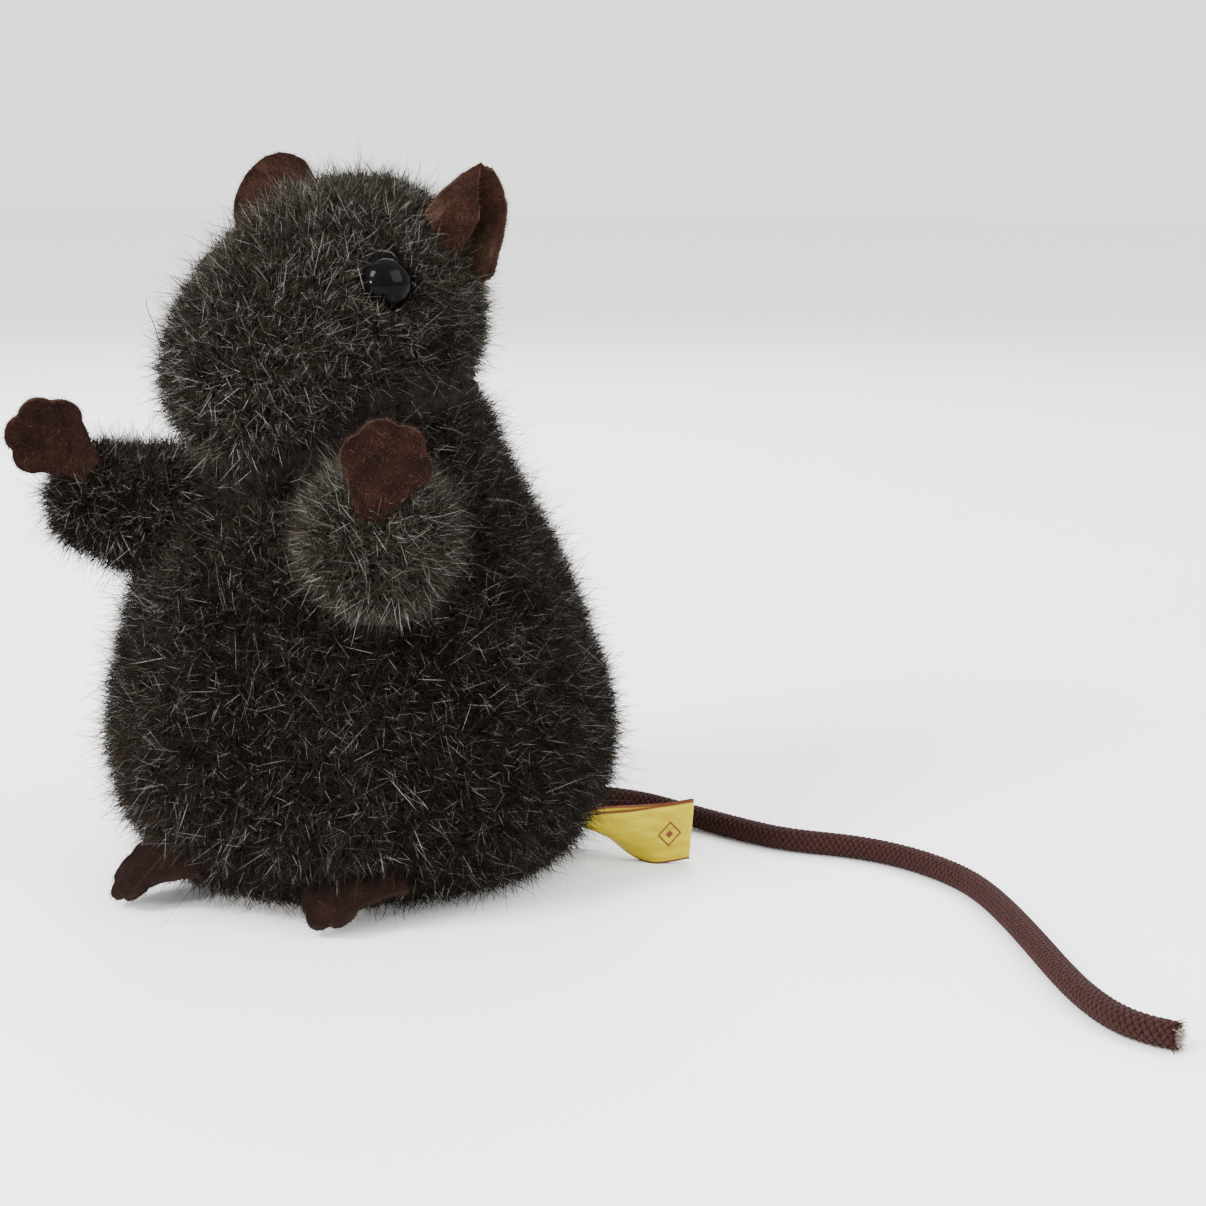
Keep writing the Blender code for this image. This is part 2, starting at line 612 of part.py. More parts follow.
base_outline = ((0, BASE_Z), (BASE_R, BASE_Z), (BASE_R, BASE_TOP), (0, BASE_TOP))
base_plate = make("base_plate", turned(base_outline, 40), TINPLATE)
slot_half = WHEEL_W / 2 + 0.7
cut(base_plate,
    floor_slot(-WHEEL_X - slot_half, -WHEEL_X + slot_half, DRIVE_AT[0], 9.6),
    floor_slot(WHEEL_X - slot_half, WHEEL_X + slot_half, DRIVE_AT[0], 9.6),
    floor_slot(-9.6, -6.8, DRIVE_AT[0], 5.6),
    floor_slot(-7.5, 7.5, ROLLER_AT[0], 6.4),
    *[rod(1.4, (0, y, 0), (0, y, 6)) for y in SCREWS.values()])

cover_low, cover_high = (Vector(corner) for corner in COVER_SIZE)
motor_cover = make("motor_cover", block(cover_low, cover_high), CARD, smooth=False)
inside_low = cover_low + Vector((COVER_T, COVER_T, -3))
inside_high = cover_high - Vector((COVER_T, COVER_T, COVER_T))
cut(motor_cover, block(inside_low, inside_high), rod(2.2, (-24, *WIND_AT), (-20, *WIND_AT)))
cavity_low = cover_low - Vector((GAP, GAP, 4))
cavity_high = cover_high + Vector((GAP, GAP, GAP))
roller_room = block((-11, -32.5, 0), (11, -15.5, 16.2))
cut(body_stuffing, block(cavity_low, cavity_high), rod(2.4, (-60, *WIND_AT), (-20, *WIND_AT)), roller_room)
cut(body_skin, block(cavity_low, cavity_high), rod(2.4, (-60, *WIND_AT), (-40, *WIND_AT)))

PLATE_OUTLINE = [(-6.4, BASE_TOP + GAP), (28.2, BASE_TOP + GAP), (28.4, 24.0), (28.4, 46.0), (26.5, 48.0),
                 (-3.0, 48.0), (-6.6, 44.0)]
bearings = [circle(1.9, WIND_AT), circle(1.4, SECOND_AT), circle(1.5, DRIVE_AT), circle(1.1, GOVERNOR_AT)]
rivets = [circle(1.25, place) for place in PILLARS.values()]
for name, x in (("left_side_plate", PLATE_X - PLATE_T / 2), ("right_side_plate", -PLATE_X - PLATE_T / 2)):
    make(name, sheet([PLATE_OUTLINE, *bearings, *rivets], PLATE_T, along_x((0, 0), x)), BRASS, smooth=False)

inside = PLATE_X - PLATE_T / 2 - GAP
outside = PLATE_X + PLATE_T / 2
for name, place in PILLARS.items():
    profile = ((0, -outside - 0.8), (0.95, -outside - 0.8), (0.95, -inside), (1.6, -inside),
               (1.6, inside), (0.95, inside), (0.95, outside + 0.8), (0, outside + 0.8))
    make(name, turned(profile, 10, along_x(place)), STEEL)
for (name, y), bracket in zip(SCREWS.items(), ("front_bracket", "rear_bracket")):
    bar = block((-inside, y - 1.9, BASE_TOP + GAP), (inside, y + 1.9, 7.4))
    foot = make(bracket, bar, STEEL, smooth=False)
    cut(foot, rod(1.3, (0, y, 3), (0, y, 9)))
    screw = ((0, 1.7), (2.3, 1.9), (2.3, BASE_Z - GAP), (0.95, BASE_Z - GAP), (0.95, 7.2), (0, 7.2))
    make(name, turned(screw, 12, Matrix.Translation((0, y, 0))), STEEL)


# ---- Gears: ogival wheel teeth and round-tipped pinion leaves --------------------------------------

def tooth_ring(teeth, module, phase, width, tip, root):
    """A gear's outline; width is the tooth's share of the pitch, tip and root are in modules."""
    pitch = module * teeth / 2
    step = math.tau / teeth
    shape = ((-0.62, -root), (-0.2, tip), (0.2, tip), (0.62, -root))
    points = []
    for k in range(teeth):
        for share, height in shape:
            angle = phase + step * (k + share * width)
            radius = pitch + height * module
            points.append((radius * math.cos(angle), radius * math.sin(angle)))
    return points


def wheel_teeth(teeth, module, phase):
    return tooth_ring(teeth, module, phase, 0.46, 0.95, 1.15)


def leaf_teeth(teeth, module, phase):
    return tooth_ring(teeth, module, phase, 0.36, 0.60, 1.25)


def gear(outline, x, width, place, bore=None):
    loops = [outline] if bore is None else [outline, circle(bore, count=14)]
    return sheet(loops, width, along_x(place, x))


def arbor(name, place, parent, steps, leaves=None, leaf_x=0.0, leaf_width=0.0):
    """A steel arbor turned with its pinion: the leaves are joined on by a union."""
    profile = [(0, steps[0][1]), *steps, (0, steps[-1][1])]
    thing = make(name, turned(profile, 14, along_x(place)), STEEL, parent)
    if leaves:
        join(thing, f"{name}_leaves", gear(leaves, leaf_x, leaf_width, place), parent)


def towards(direction, teeth=0):
    """The phase that points a tooth along a direction, or with teeth a gap back along it."""
    back = math.pi + math.pi / teeth if teeth else 0.0
    return math.radians(direction) + back


great_pivot = pivot("great_wheel_axis", (0.0, *WIND_AT))
key_pivot = pivot("key_axis", (0.0, *WIND_AT), great_pivot)
second_pivot = pivot("second_axis", (0.0, *SECOND_AT))
drive_pivot = pivot("drive_axis", (0.0, *DRIVE_AT))
governor_pivot = pivot("governor_axis", (0.0, *GOVERNOR_AT))
roller_pivot = pivot("roller_axis", (0.0, *ROLLER_AT))

great_outline = wheel_teeth(GREAT_TEETH, GREAT_MODULE, towards(SECOND_DIRECTION))
make("great_wheel", gear(great_outline, 1.0, 2.0, WIND_AT, 2.3), BRASS, great_pivot, smooth=False)

leaves = leaf_teeth(SECOND_PINION_TEETH, GREAT_MODULE, towards(SECOND_DIRECTION, SECOND_PINION_TEETH))
arbor("second_arbor", SECOND_AT, second_pivot, ((1.0, -12.9), (1.0, 12.9)), leaves, 0.4, 3.4)
second_outline = wheel_teeth(SECOND_TEETH, TRAIN_MODULE, towards(DRIVE_DIRECTION))
make("second_wheel", gear(second_outline, 5.0, 1.6, SECOND_AT, 1.3), BRASS, second_pivot, smooth=False)

leaves = leaf_teeth(DRIVE_PINION_TEETH, TRAIN_MODULE, towards(DRIVE_DIRECTION, DRIVE_PINION_TEETH))
axle_end = WHEEL_X + 2.9
arbor("drive_axle", DRIVE_AT, drive_pivot, ((1.1, -axle_end), (1.1, axle_end)), leaves, 4.4, 2.8)
third_outline = wheel_teeth(THIRD_TEETH, TRAIN_MODULE, towards(GOVERNOR_DIRECTION))
make("third_wheel", gear(third_outline, -9.0, 1.6, DRIVE_AT, 1.4), BRASS, drive_pivot, smooth=False)

leaves = leaf_teeth(GOVERNOR_PINION_TEETH, TRAIN_MODULE, towards(GOVERNOR_DIRECTION, GOVERNOR_PINION_TEETH))
arbor("governor_arbor", GOVERNOR_AT, governor_pivot, ((0.8, -12.9), (0.8, 12.9)), leaves, -9.6, 2.8)


# ---- Governor fly, driving wheels and front roller -------------------------------------------------

fly_low = (FLY_X[0], GOVERNOR_AT[0] - FLY_R, GOVERNOR_AT[1] - 0.3)
fly_high = (FLY_X[1], GOVERNOR_AT[0] + FLY_R, GOVERNOR_AT[1] + 0.3)
fly = make("governor_fly", block(fly_low, fly_high), BRASS, governor_pivot, smooth=False)
sleeve = rod(FLY_SLEEVE_R, (FLY_X[0], *GOVERNOR_AT), (FLY_X[1], *GOVERNOR_AT))
join(fly, "fly_sleeve_form", sleeve, governor_pivot)
cut(fly, rod(1.1, (-6, *GOVERNOR_AT), (6, *GOVERNOR_AT)))

for side, sign in (("left", 1), ("right", -1)):
    frame = along_x(DRIVE_AT, sign * WHEEL_X)
    hub = ((1.4, -2.1), (HUB_R, -2.1), (HUB_R, 2.1), (4.6, 2.1), (4.2, 1.2), (2.6, 1.2), (2.4, 2.1),
           (1.4, 2.1))
    make(f"{side}_wheel_hub", turned(hub, 20, frame, ring=True), ((0.70, 0.10, 0.08), 0.4, 0.0), drive_pivot)
    half = WHEEL_W / 2
    inner = HUB_R + GAP
    tyre = ((inner, -half), (WHEEL_R - 0.6, -half), (WHEEL_R, -half + 0.7), (WHEEL_R, half - 0.7),
            (WHEEL_R - 0.6, half), (inner, half))
    make(f"{side}_tyre", turned(tyre, 32, frame, ring=True), RUBBER, drive_pivot)

roller_r = ROLLER_AT[1]
roller = ((1.3, -6.8), (roller_r - 0.6, -6.8), (roller_r, -6.2), (roller_r, 6.2), (roller_r - 0.6, 6.8),
          (1.3, 6.8))
roller_shape = turned(roller, 28, along_x(ROLLER_AT), ring=True)
make("front_roller", roller_shape, ((0.75, 0.62, 0.42), 0.6, 0.0), roller_pivot)
make("roller_pin", rod(1.0, (-9.4, *ROLLER_AT), (9.4, *ROLLER_AT)), STEEL)
fork = make("roller_fork", block((-8.6, -27.5, BASE_TOP + GAP), (8.6, -20.5, 14.6)), TINPLATE, smooth=False)
cut(fork, block((-7.5, -30, 0), (7.5, -18, 13.4)), rod(1.3, (-10, *ROLLER_AT), (10, *ROLLER_AT)))


# ---- Mainspring, ratchet, click and key -------------------------------------------------------------

def spiral(turns, inner, outer, thickness, steps):
    """A coiled strip as one closed outline."""
    runs = []
    for half in (-0.5, 0.5):
        run = []
        for k in range(steps + 1):
            a = math.tau * turns * k / steps
            radius = inner + (outer - inner) * k / steps + half * thickness
            run.append((radius * math.cos(a), radius * math.sin(a)))
        runs.append(run)
    return runs[0] + runs[1][::-1]


coil = spiral(SPRING_TURNS, *SPRING_R, SPRING_T, 80)
make("mainspring", sheet([coil], SPRING_W, along_x(WIND_AT, -10.0)), STEEL)
winding_steps = ((1.5, 13.6), (1.5, 10.8), (1.9, 10.8), (1.9, -10.8), (1.5, -10.8), (1.5, KEY_X - 3.2))
arbor("winding_arbor", WIND_AT, key_pivot, winding_steps)

ratchet = []
for k in range(RATCHET_TEETH):
    start = math.tau * k / RATCHET_TEETH
    for radius, angle in zip(RATCHET_R, (start, start, start + 0.26)):
        ratchet.append((radius * math.cos(angle), radius * math.sin(angle)))
ratchet_shape = sheet([ratchet, circle(2.2, count=14)], 1.2, along_x(WIND_AT, 3.4))
make("ratchet_wheel", ratchet_shape, STEEL, key_pivot, smooth=False)

CLICK_AT = (WIND_AT[0] + 1.5, WIND_AT[1] + 9.2)
click_pivot = pivot("click_axis", (0.0, *CLICK_AT), great_pivot)
click_outline = [(-0.9, 1.0), (-1.0, -0.6), (-1.3, -2.6), (-2.2, -3.7), (-0.9, -3.9), (0.3, -2.6),
                 (1.0, -0.6), (0.9, 1.0)]
make("click", sheet([click_outline], 1.0, along_x(CLICK_AT, 3.5)), STEEL, click_pivot, smooth=False)
spring_outline = [(1.6, 2.4), (2.0, 2.2), (1.9, -1.2), (1.2, -2.9), (0.9, -2.75), (1.5, -1.2)]
spring_shape = sheet([spring_outline], 0.9, along_x(CLICK_AT, 3.55))
make("click_spring", spring_shape, STEEL, great_pivot, smooth=False)

wing = []
for a in range(0, 360, 20):
    lobe = math.radians(a)
    reach = BOW_REACH * (0.55 + 0.45 * abs(math.sin(lobe)))
    wing.append((reach * math.cos(lobe) * 0.62, reach * math.sin(lobe)))
bow_frame = Matrix(((1, 0, 0), (0, 0, -1), (0, 1, 0))).to_4x4()
bow_place = Matrix.Translation((KEY_X - 6.4, WIND_AT[0] + BOW_T / 2, WIND_AT[1])) @ bow_frame
key = make("key", sheet([wing], BOW_T, bow_place), BRASS, key_pivot)
tube = rod(KEY_TUBE_R, (KEY_X - 5.2, *WIND_AT), (KEY_X + 3.0, *WIND_AT), 16)
join(key, "key_tube_form", tube, key_pivot)
cut(key, rod(1.8, (KEY_X - 3.6, *WIND_AT), (KEY_X + 4.0, *WIND_AT), 16))


# ---- The origin: the middle of the footprint, on the floor ------------------------------------------

bpy.context.view_layer.update()
reader = bpy.context.evaluated_depsgraph_get()
corners = []
for thing in bpy.data.objects:
    if thing.type != "MESH" or thing.hide_render:
        continue
    seen = thing.evaluated_get(reader)
    corners += [seen.matrix_world @ vertex.co for vertex in seen.data.vertices]
corners = np.array(corners)
middle = (corners.min(axis=0) + corners.max(axis=0)) / 2
mouse.location = (-middle[0], -middle[1], 0.0)
bpy.context.view_layer.update()
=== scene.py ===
"""A plush mouse with a clockwork drive: pile, felt, glass eyes, braided tail and brass key."""

import json
import math

import bmesh
import bpy
import numpy as np
from mathutils import Matrix, Vector
from mathutils.bvhtree import BVHTree


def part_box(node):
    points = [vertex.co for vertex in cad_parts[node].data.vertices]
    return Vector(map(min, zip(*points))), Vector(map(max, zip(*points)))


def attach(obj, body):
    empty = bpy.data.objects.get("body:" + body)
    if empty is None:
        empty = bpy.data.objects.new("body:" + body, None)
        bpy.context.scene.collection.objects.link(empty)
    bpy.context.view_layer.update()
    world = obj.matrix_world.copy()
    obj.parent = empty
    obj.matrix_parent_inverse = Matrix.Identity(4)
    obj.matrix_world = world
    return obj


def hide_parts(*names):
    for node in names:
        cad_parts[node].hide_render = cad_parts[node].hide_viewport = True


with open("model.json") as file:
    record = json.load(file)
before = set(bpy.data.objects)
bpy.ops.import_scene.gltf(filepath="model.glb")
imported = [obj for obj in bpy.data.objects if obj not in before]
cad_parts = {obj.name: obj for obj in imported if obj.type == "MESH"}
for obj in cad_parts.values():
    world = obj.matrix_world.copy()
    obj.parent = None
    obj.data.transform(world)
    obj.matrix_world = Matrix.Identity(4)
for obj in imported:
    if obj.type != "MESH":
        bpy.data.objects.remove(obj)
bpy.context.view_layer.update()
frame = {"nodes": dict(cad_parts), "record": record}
bpy.ops.object.select_all(action="DESELECT")


# ---- View and room ----------------------------------------------------------------------------
# The mouse stands on a plain pale floor in a white studio. The camera looks down a little on its
# left front quarter, from under half a metre away.

plate_low, plate_high = (Vector(corner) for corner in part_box("base_plate"))
PLACE = Vector(((plate_low.x + plate_high.x) / 2, (plate_low.y + plate_high.y) / 2, 0.0))

bpy.ops.object.camera_add(location=PLACE + Vector((0.27410, -0.33730, 0.13522)))
camera = bpy.context.object
camera.name = "studio_camera"
camera.data.lens = 68.66
camera.data.sensor_width = 36.0
camera.data.clip_start = 0.01
aim = PLACE + Vector((0.0335, 0.0332, 0.04936))
camera.rotation_euler = (aim - camera.location).to_track_quat("-Z", "Y").to_euler()
bpy.context.scene.camera = camera

bpy.ops.mesh.primitive_plane_add(size=9.0, location=(0.0, 0.0, 0.0))
floor = bpy.context.object
floor.name = "studio_floor"
floor_paint = bpy.data.materials.new("floor_paint")
floor_paint.use_nodes = True
floor_nodes = floor_paint.node_tree.nodes
floor_nodes["Principled BSDF"].inputs["Base Color"].default_value = (0.93, 0.93, 0.93, 1.0)
floor_nodes["Principled BSDF"].inputs["Roughness"].default_value = 0.9
floor.data.materials.append(floor_paint)

world = bpy.data.worlds.new("white_room")
world.use_nodes = True
world.node_tree.nodes["Background"].inputs["Color"].default_value = (1.0, 1.0, 1.0, 1.0)
world.node_tree.nodes["Background"].inputs["Strength"].default_value = 1.9
bpy.context.scene.world = world

# The main box stands high at the camera's left with a small bright lamp under it, a weaker box
# stands at the right and one behind.
LAMPS = (
    ("key_box", (-0.25, -0.85, 0.80), 0.40, 24.0),
    ("spark", (-0.15, -0.64, 0.20), 0.09, 5.0),
    ("fill_box", (0.95, 0.05, 0.62), 0.75, 15.0),
    ("back_box", (-0.55, 0.70, 0.80), 0.60, 12.0),
)
for name, place, size, power in LAMPS:
    bpy.ops.object.light_add(type="AREA", location=PLACE + Vector(place))
    lamp = bpy.context.object
    lamp.name = name
    lamp.data.shape = "SQUARE"
    lamp.data.size = size
    lamp.data.energy = power
    lamp.rotation_euler = (PLACE + Vector((0, 0, 0.06)) - lamp.location).to_track_quat("-Z", "Y").to_euler()


# ---- Tail -------------------------------------------------------------------------------------
# The tail is a round cord, braided from dark red-brown carriers over a pale core. It is pushed
# into the back of the body, lies on the floor and ends in a plain cut.

TAIL_R = 0.00235
TAIL_ROUTE = (
    (0.0146, 0.0362, 0.0065), (0.0184, 0.0398, 0.0064), (0.0225, 0.0434, 0.0061),
    (0.0270, 0.0470, 0.0055), (0.0315, 0.0502, 0.0046), (0.0360, 0.0523, 0.0036),
    (0.0410, 0.0532, 0.0028), (0.0460, 0.0530, 0.00245), (0.0515, 0.0520, 0.0024),
    (0.0570, 0.0510, 0.0024), (0.0624, 0.0503, 0.0024), (0.0673, 0.0504, 0.0024),
    (0.0718, 0.0512, 0.0024), (0.0760, 0.0521, 0.0024), (0.0805, 0.0527, 0.0024),
    (0.0853, 0.0527, 0.0024), (0.0904, 0.0520, 0.0024), (0.0958, 0.0505, 0.0024),
    (0.1014, 0.0481, 0.0024), (0.1076, 0.0443, 0.0024), (0.1148, 0.0379, 0.0024),
    (0.1227, 0.0293, 0.0024), (0.1309, 0.0196, 0.0024), (0.1387, 0.0101, 0.0024),
    (0.1455, 0.0023, 0.0024), (0.1514, -0.0033, 0.0024), (0.1565, -0.0068, 0.0024),
    (0.1612, -0.0084, 0.0024), (0.1660, -0.0087, 0.0024),
)


def smooth_run(points, count):
    """Evenly spaced points on a smooth curve through the given ones."""
    points = [np.array(p, float) for p in points]
    ends = [2 * points[0] - points[1], *points, 2 * points[-1] - points[-2]]
    dense = []
    for a, b, c, d in zip(ends, ends[1:], ends[2:], ends[3:]):
        for t in np.arange(0, 1, 0.05):
            dense.append(0.5 * (2 * b + (c - a) * t + (2 * a - 5 * b + 4 * c - d) * t**2
                                + (3 * b - a - 3 * c + d) * t**3))
    dense.append(points[-1])
    dense = np.array(dense)
    run = np.concatenate(([0], np.cumsum(np.linalg.norm(np.diff(dense, axis=0), axis=1))))
    marks = np.linspace(0, run[-1], count)
    return np.stack([np.interp(marks, run, dense[:, k]) for k in range(3)], axis=1)


def new_piece(name, points, faces, uvs=None, slots=None):
    """A mesh object from points and faces of one size, with a UV for each corner."""
    points = np.ascontiguousarray(points, dtype=np.float32)
    faces = np.ascontiguousarray(faces, dtype=np.int32)
    size = faces.shape[1]
    mesh = bpy.data.meshes.new(name)
    mesh.vertices.add(len(points))
    mesh.vertices.foreach_set("co", points.ravel())
    mesh.loops.add(faces.size)
    mesh.loops.foreach_set("vertex_index", faces.ravel())
    mesh.polygons.add(len(faces))
    mesh.polygons.foreach_set("loop_start", np.arange(0, faces.size, size, dtype=np.int32))
    if uvs is not None:
        layer = mesh.uv_layers.new(name="piece_uv")
        layer.data.foreach_set("uv", np.ascontiguousarray(uvs, dtype=np.float32).ravel())
    if slots is not None:
        mesh.polygons.foreach_set("material_index", np.ascontiguousarray(slots, dtype=np.int32))
    mesh.update(calc_edges=True)
    mesh.shade_smooth()
    piece = bpy.data.objects.new(name, mesh)
    bpy.context.collection.objects.link(piece)
    return piece


def run_frames(line):
    """Tangent and two sideways directions along a line, without twist."""
    ahead = np.gradient(line, axis=0)
    ahead /= np.linalg.norm(ahead, axis=1, keepdims=True)
    side = np.cross(ahead[0], (0.0, 0.0, 1.0))
    side /= np.linalg.norm(side)
    sides = []
    for way in ahead:
        side = side - way * side.dot(way)
        side /= np.linalg.norm(side)
        sides.append(side)
    sides = np.array(sides)
    return ahead, sides, np.cross(ahead, sides)


def tube_faces(rings, around):
    """The four-sided faces of a tube made of rings of points."""
    row = np.arange(rings - 1)[:, None] * around
    column = np.arange(around)[None, :]
    after = (column + 1) % around
    corners = (row + column, row + after, row + around + after, row + around + column)
    return np.stack(corners, axis=-1).reshape(-1, 4)


def close_ends(piece):
    """Fills a tube's open ends and turns its faces outwards."""
    shape = bmesh.new()
    shape.from_mesh(piece.data)
    bmesh.ops.holes_fill(shape, edges=[edge for edge in shape.edges if edge.is_boundary], sides=0)
    bmesh.ops.recalc_face_normals(shape, faces=shape.faces)
    shape.to_mesh(piece.data)
    shape.free()


def nodes_of(name, roughness=0.9, sheen=0.0, gloss=0.08):
    """A new material and its node tree; the surface's own values are set on its sockets."""
    material = bpy.data.materials.new(name)
    material.use_nodes = True
    tree = material.node_tree
    surface = tree.nodes["Principled BSDF"]
    surface.inputs["Roughness"].default_value = roughness
    surface.inputs["Sheen Weight"].default_value = sheen
    surface.inputs["Specular IOR Level"].default_value = gloss
    return material, tree, surface


def add(tree, kind, links=None, **values):
    """A shader node with its settings, its sockets' values and its inputs' links."""
    node = tree.nodes.new(kind)
    for key, value in values.items():
        setattr(node, key, value)
    for socket, source in (links or {}).items():
        if hasattr(source, "is_output"):
            tree.links.new(source, node.inputs[socket])
        else:
            node.inputs[socket].default_value = source
    return node


def ramp(tree, factor, stops):
    """A colour ramp over a factor, from (place, colour) stops."""
    node = add(tree, "ShaderNodeValToRGB", {"Fac": factor})
    bands = node.color_ramp.elements
    while len(bands) < len(stops):
        bands.new(0.5)
    for band, (place, colour) in zip(bands, stops):
        band.position = place
        band.color = (*colour, 1.0)
    return node.outputs["Color"]


CARRIERS = 8
BRAID_PITCH = 0.0100
BRAID_RELIEF = 0.00055
AROUND, STEP = 64, 0.00022
tail_line = smooth_run([np.array(p) + np.array(PLACE) for p in TAIL_ROUTE], 48)
tail_length = float(np.linalg.norm(np.diff(tail_line, axis=0), axis=1).sum())
fine_line = smooth_run(tail_line, int(tail_length / STEP))
_, tail_side, tail_up = run_frames(fine_line)
along = np.linspace(0, tail_length, len(fine_line))[:, None]
angle = np.linspace(0, math.tau, AROUND + 1)[None, :-1]
# Two families of carriers cross; each passes over one of the other and under the next.
left_turn = along / BRAID_PITCH * CARRIERS + angle * CARRIERS / math.tau
right_turn = along / BRAID_PITCH * CARRIERS - angle * CARRIERS / math.tau
over = ((np.floor(left_turn) + np.floor(right_turn)) % 2) == 0
left_crown = np.sqrt(np.clip(1 - (2 * (left_turn % 1) - 1) ** 2, 0, 1))
right_crown = np.sqrt(np.clip(1 - (2 * (right_turn % 1) - 1) ** 2, 0, 1))
crown = np.where(over, left_crown * (0.55 + 0.45 * right_crown), right_crown * (0.55 + 0.45 * left_crown))
radius = TAIL_R - BRAID_RELIEF * (1 - crown)
close = np.clip((along[-1] - along) / 0.0012, 0, 1)
radius = radius * (0.90 + 0.10 * np.sqrt(close))
tail_points = (
    fine_line[:, None, :]
    + tail_side[:, None, :] * (radius * np.cos(angle))[..., None]
    + tail_up[:, None, :] * (radius * np.sin(angle))[..., None]
)
tail_points[..., 2] = np.maximum(tail_points[..., 2], 0.00002)
count = len(fine_line)
row = np.arange(count - 1)[:, None] * AROUND
column = np.arange(AROUND)[None, :]
u = np.stack([column, column + 1, column + 1, column], axis=-1) / AROUND
v = np.stack([row, row, row + AROUND, row + AROUND], axis=-1) / AROUND * STEP / BRAID_PITCH
tail_uvs = np.stack(np.broadcast_arrays(u, v), axis=-1).reshape(-1, 2)
tail_cord = new_piece("braided_tail", tail_points.reshape(-1, 3), tube_faces(count, AROUND), tail_uvs)
close_ends(tail_cord)

groove = tail_cord.data.attributes.new("crown", "FLOAT", "POINT")
groove.data.foreach_set("value", crown.ravel().astype(np.float32))
braid, tree, surface = nodes_of("braided_yarn", 0.78, 0.03)
place = add(tree, "ShaderNodeUVMap", uv_map="piece_uv").outputs["UV"]
stretch = add(tree, "ShaderNodeMapping", {"Vector": place, "Scale": (90.0, 60.0, 1.0)})
fibre = add(tree, "ShaderNodeTexNoise", {"Vector": stretch.outputs["Vector"], "Scale": 1.0, "Detail": 4.0})
tone = ramp(tree, fibre.outputs["Fac"], ((0.28, (0.0060, 0.0018, 0.0016)), (0.5, (0.0210, 0.0056, 0.0048)),
                                         (0.74, (0.0620, 0.0190, 0.0150))))
# Where the crown is low, between the carriers, the colour is painted near-black: painted shade in the braid's
# grooves.
height = add(tree, "ShaderNodeAttribute", attribute_name="crown")
shaded = add(tree, "ShaderNodeMapRange", {0: height.outputs["Fac"], 1: 0.35, 2: 0.85})
yarns_with_painted_shade = add(tree, "ShaderNodeMix", {0: shaded.outputs["Result"], 6: (0.0015, 0.0008, 0.0007, 1.0), 7: tone},
            data_type="RGBA")
tree.links.new(yarns_with_painted_shade.outputs[2], surface.inputs["Base Color"])
bump = add(tree, "ShaderNodeBump", {"Height": fibre.outputs["Fac"], "Strength": 0.55, "Distance": 0.00012})
tree.links.new(bump.outputs["Normal"], surface.inputs["Normal"])
tail_cord.data.materials.append(braid)
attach(tail_cord, "mouse")
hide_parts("tail_cord")

# The cut end: a frayed tuft of pale core fibres and a few loose dark carrier yarns.
draw = np.random.default_rng(11)
end_place, end_way = fine_line[-1], fine_line[-1] - fine_line[-6]
end_way = end_way / np.linalg.norm(end_way)


def strands(roots, ways, lengths, widths, bend, draw, drop=None, slots=None):
    """Tapered ribbons from their roots, three joints long, as points, triangles and slots."""
    count = len(roots)
    ways = ways / np.linalg.norm(ways, axis=1, keepdims=True)
    side = np.cross(ways, draw.normal(size=(count, 3)))
    side /= np.linalg.norm(side, axis=1, keepdims=True)
    curl = np.cross(ways, side) * draw.normal(size=(count, 1)) + side * draw.normal(size=(count, 1))
    points = np.empty((count, 7, 3))
    for k, (share, thick) in enumerate(((0.0, 1.0), (0.48, 0.92), (0.78, 0.66))):
        centre = roots + ways * (lengths * share)[:, None] + curl * (bend * lengths * share**2)[:, None]
        if drop is not None:
            centre = centre + drop * (lengths * share**2)[:, None]
        points[:, 2 * k] = centre - side * (widths * thick / 2)[:, None]
        points[:, 2 * k + 1] = centre + side * (widths * thick / 2)[:, None]
    tip = roots + ways * lengths[:, None] + curl * (bend * lengths * 0.85)[:, None]
    points[:, 6] = tip if drop is None else tip + drop * lengths[:, None]
    start = (np.arange(count) * 7)[:, None, None]
    pattern = np.array(((0, 1, 3), (0, 3, 2), (2, 3, 5), (2, 5, 4), (4, 5, 6)))
    faces = (start + pattern[None]).reshape(-1, 3)
    if slots is None:
        slots = np.zeros((count, 2), int)
    face_slots = slots[:, [0, 0, 1, 1, 1]].reshape(-1)
    return points.reshape(-1, 3), faces, face_slots


count = 420
around = draw.uniform(0, math.tau, count)
out = np.sqrt(draw.uniform(0, 1, count)) * TAIL_R * 0.8
spread = tail_side[-1] * np.cos(around)[:, None] + tail_up[-1] * np.sin(around)[:, None]
roots = end_place + spread * out[:, None] - end_way * 0.0012
ways = end_way + spread * 0.25 + draw.normal(0, 0.18, (count, 3))
lengths = draw.uniform(0.0014, 0.0026, count)
points, faces, slots = strands(roots, ways, lengths, np.full(count, 0.00016), np.full(count, 0.25), draw,
                               slots=np.repeat((out > TAIL_R * 0.52).astype(int)[:, None], 2, axis=1))
points[:, 2] = np.maximum(points[:, 2], 0.00005)
cut_end = new_piece("tail_cut_end", points, faces, slots=slots)
core, _, surface = nodes_of("core_fibre", 0.8, 0.05)
surface.inputs["Base Color"].default_value = (0.36, 0.32, 0.26, 1.0)
cut_end.data.materials.append(core)
dark_yarn, _, surface = nodes_of("loose_carrier", 0.85)
surface.inputs["Base Color"].default_value = (0.030, 0.010, 0.008, 1.0)
cut_end.data.materials.append(dark_yarn)
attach(cut_end, "mouse")
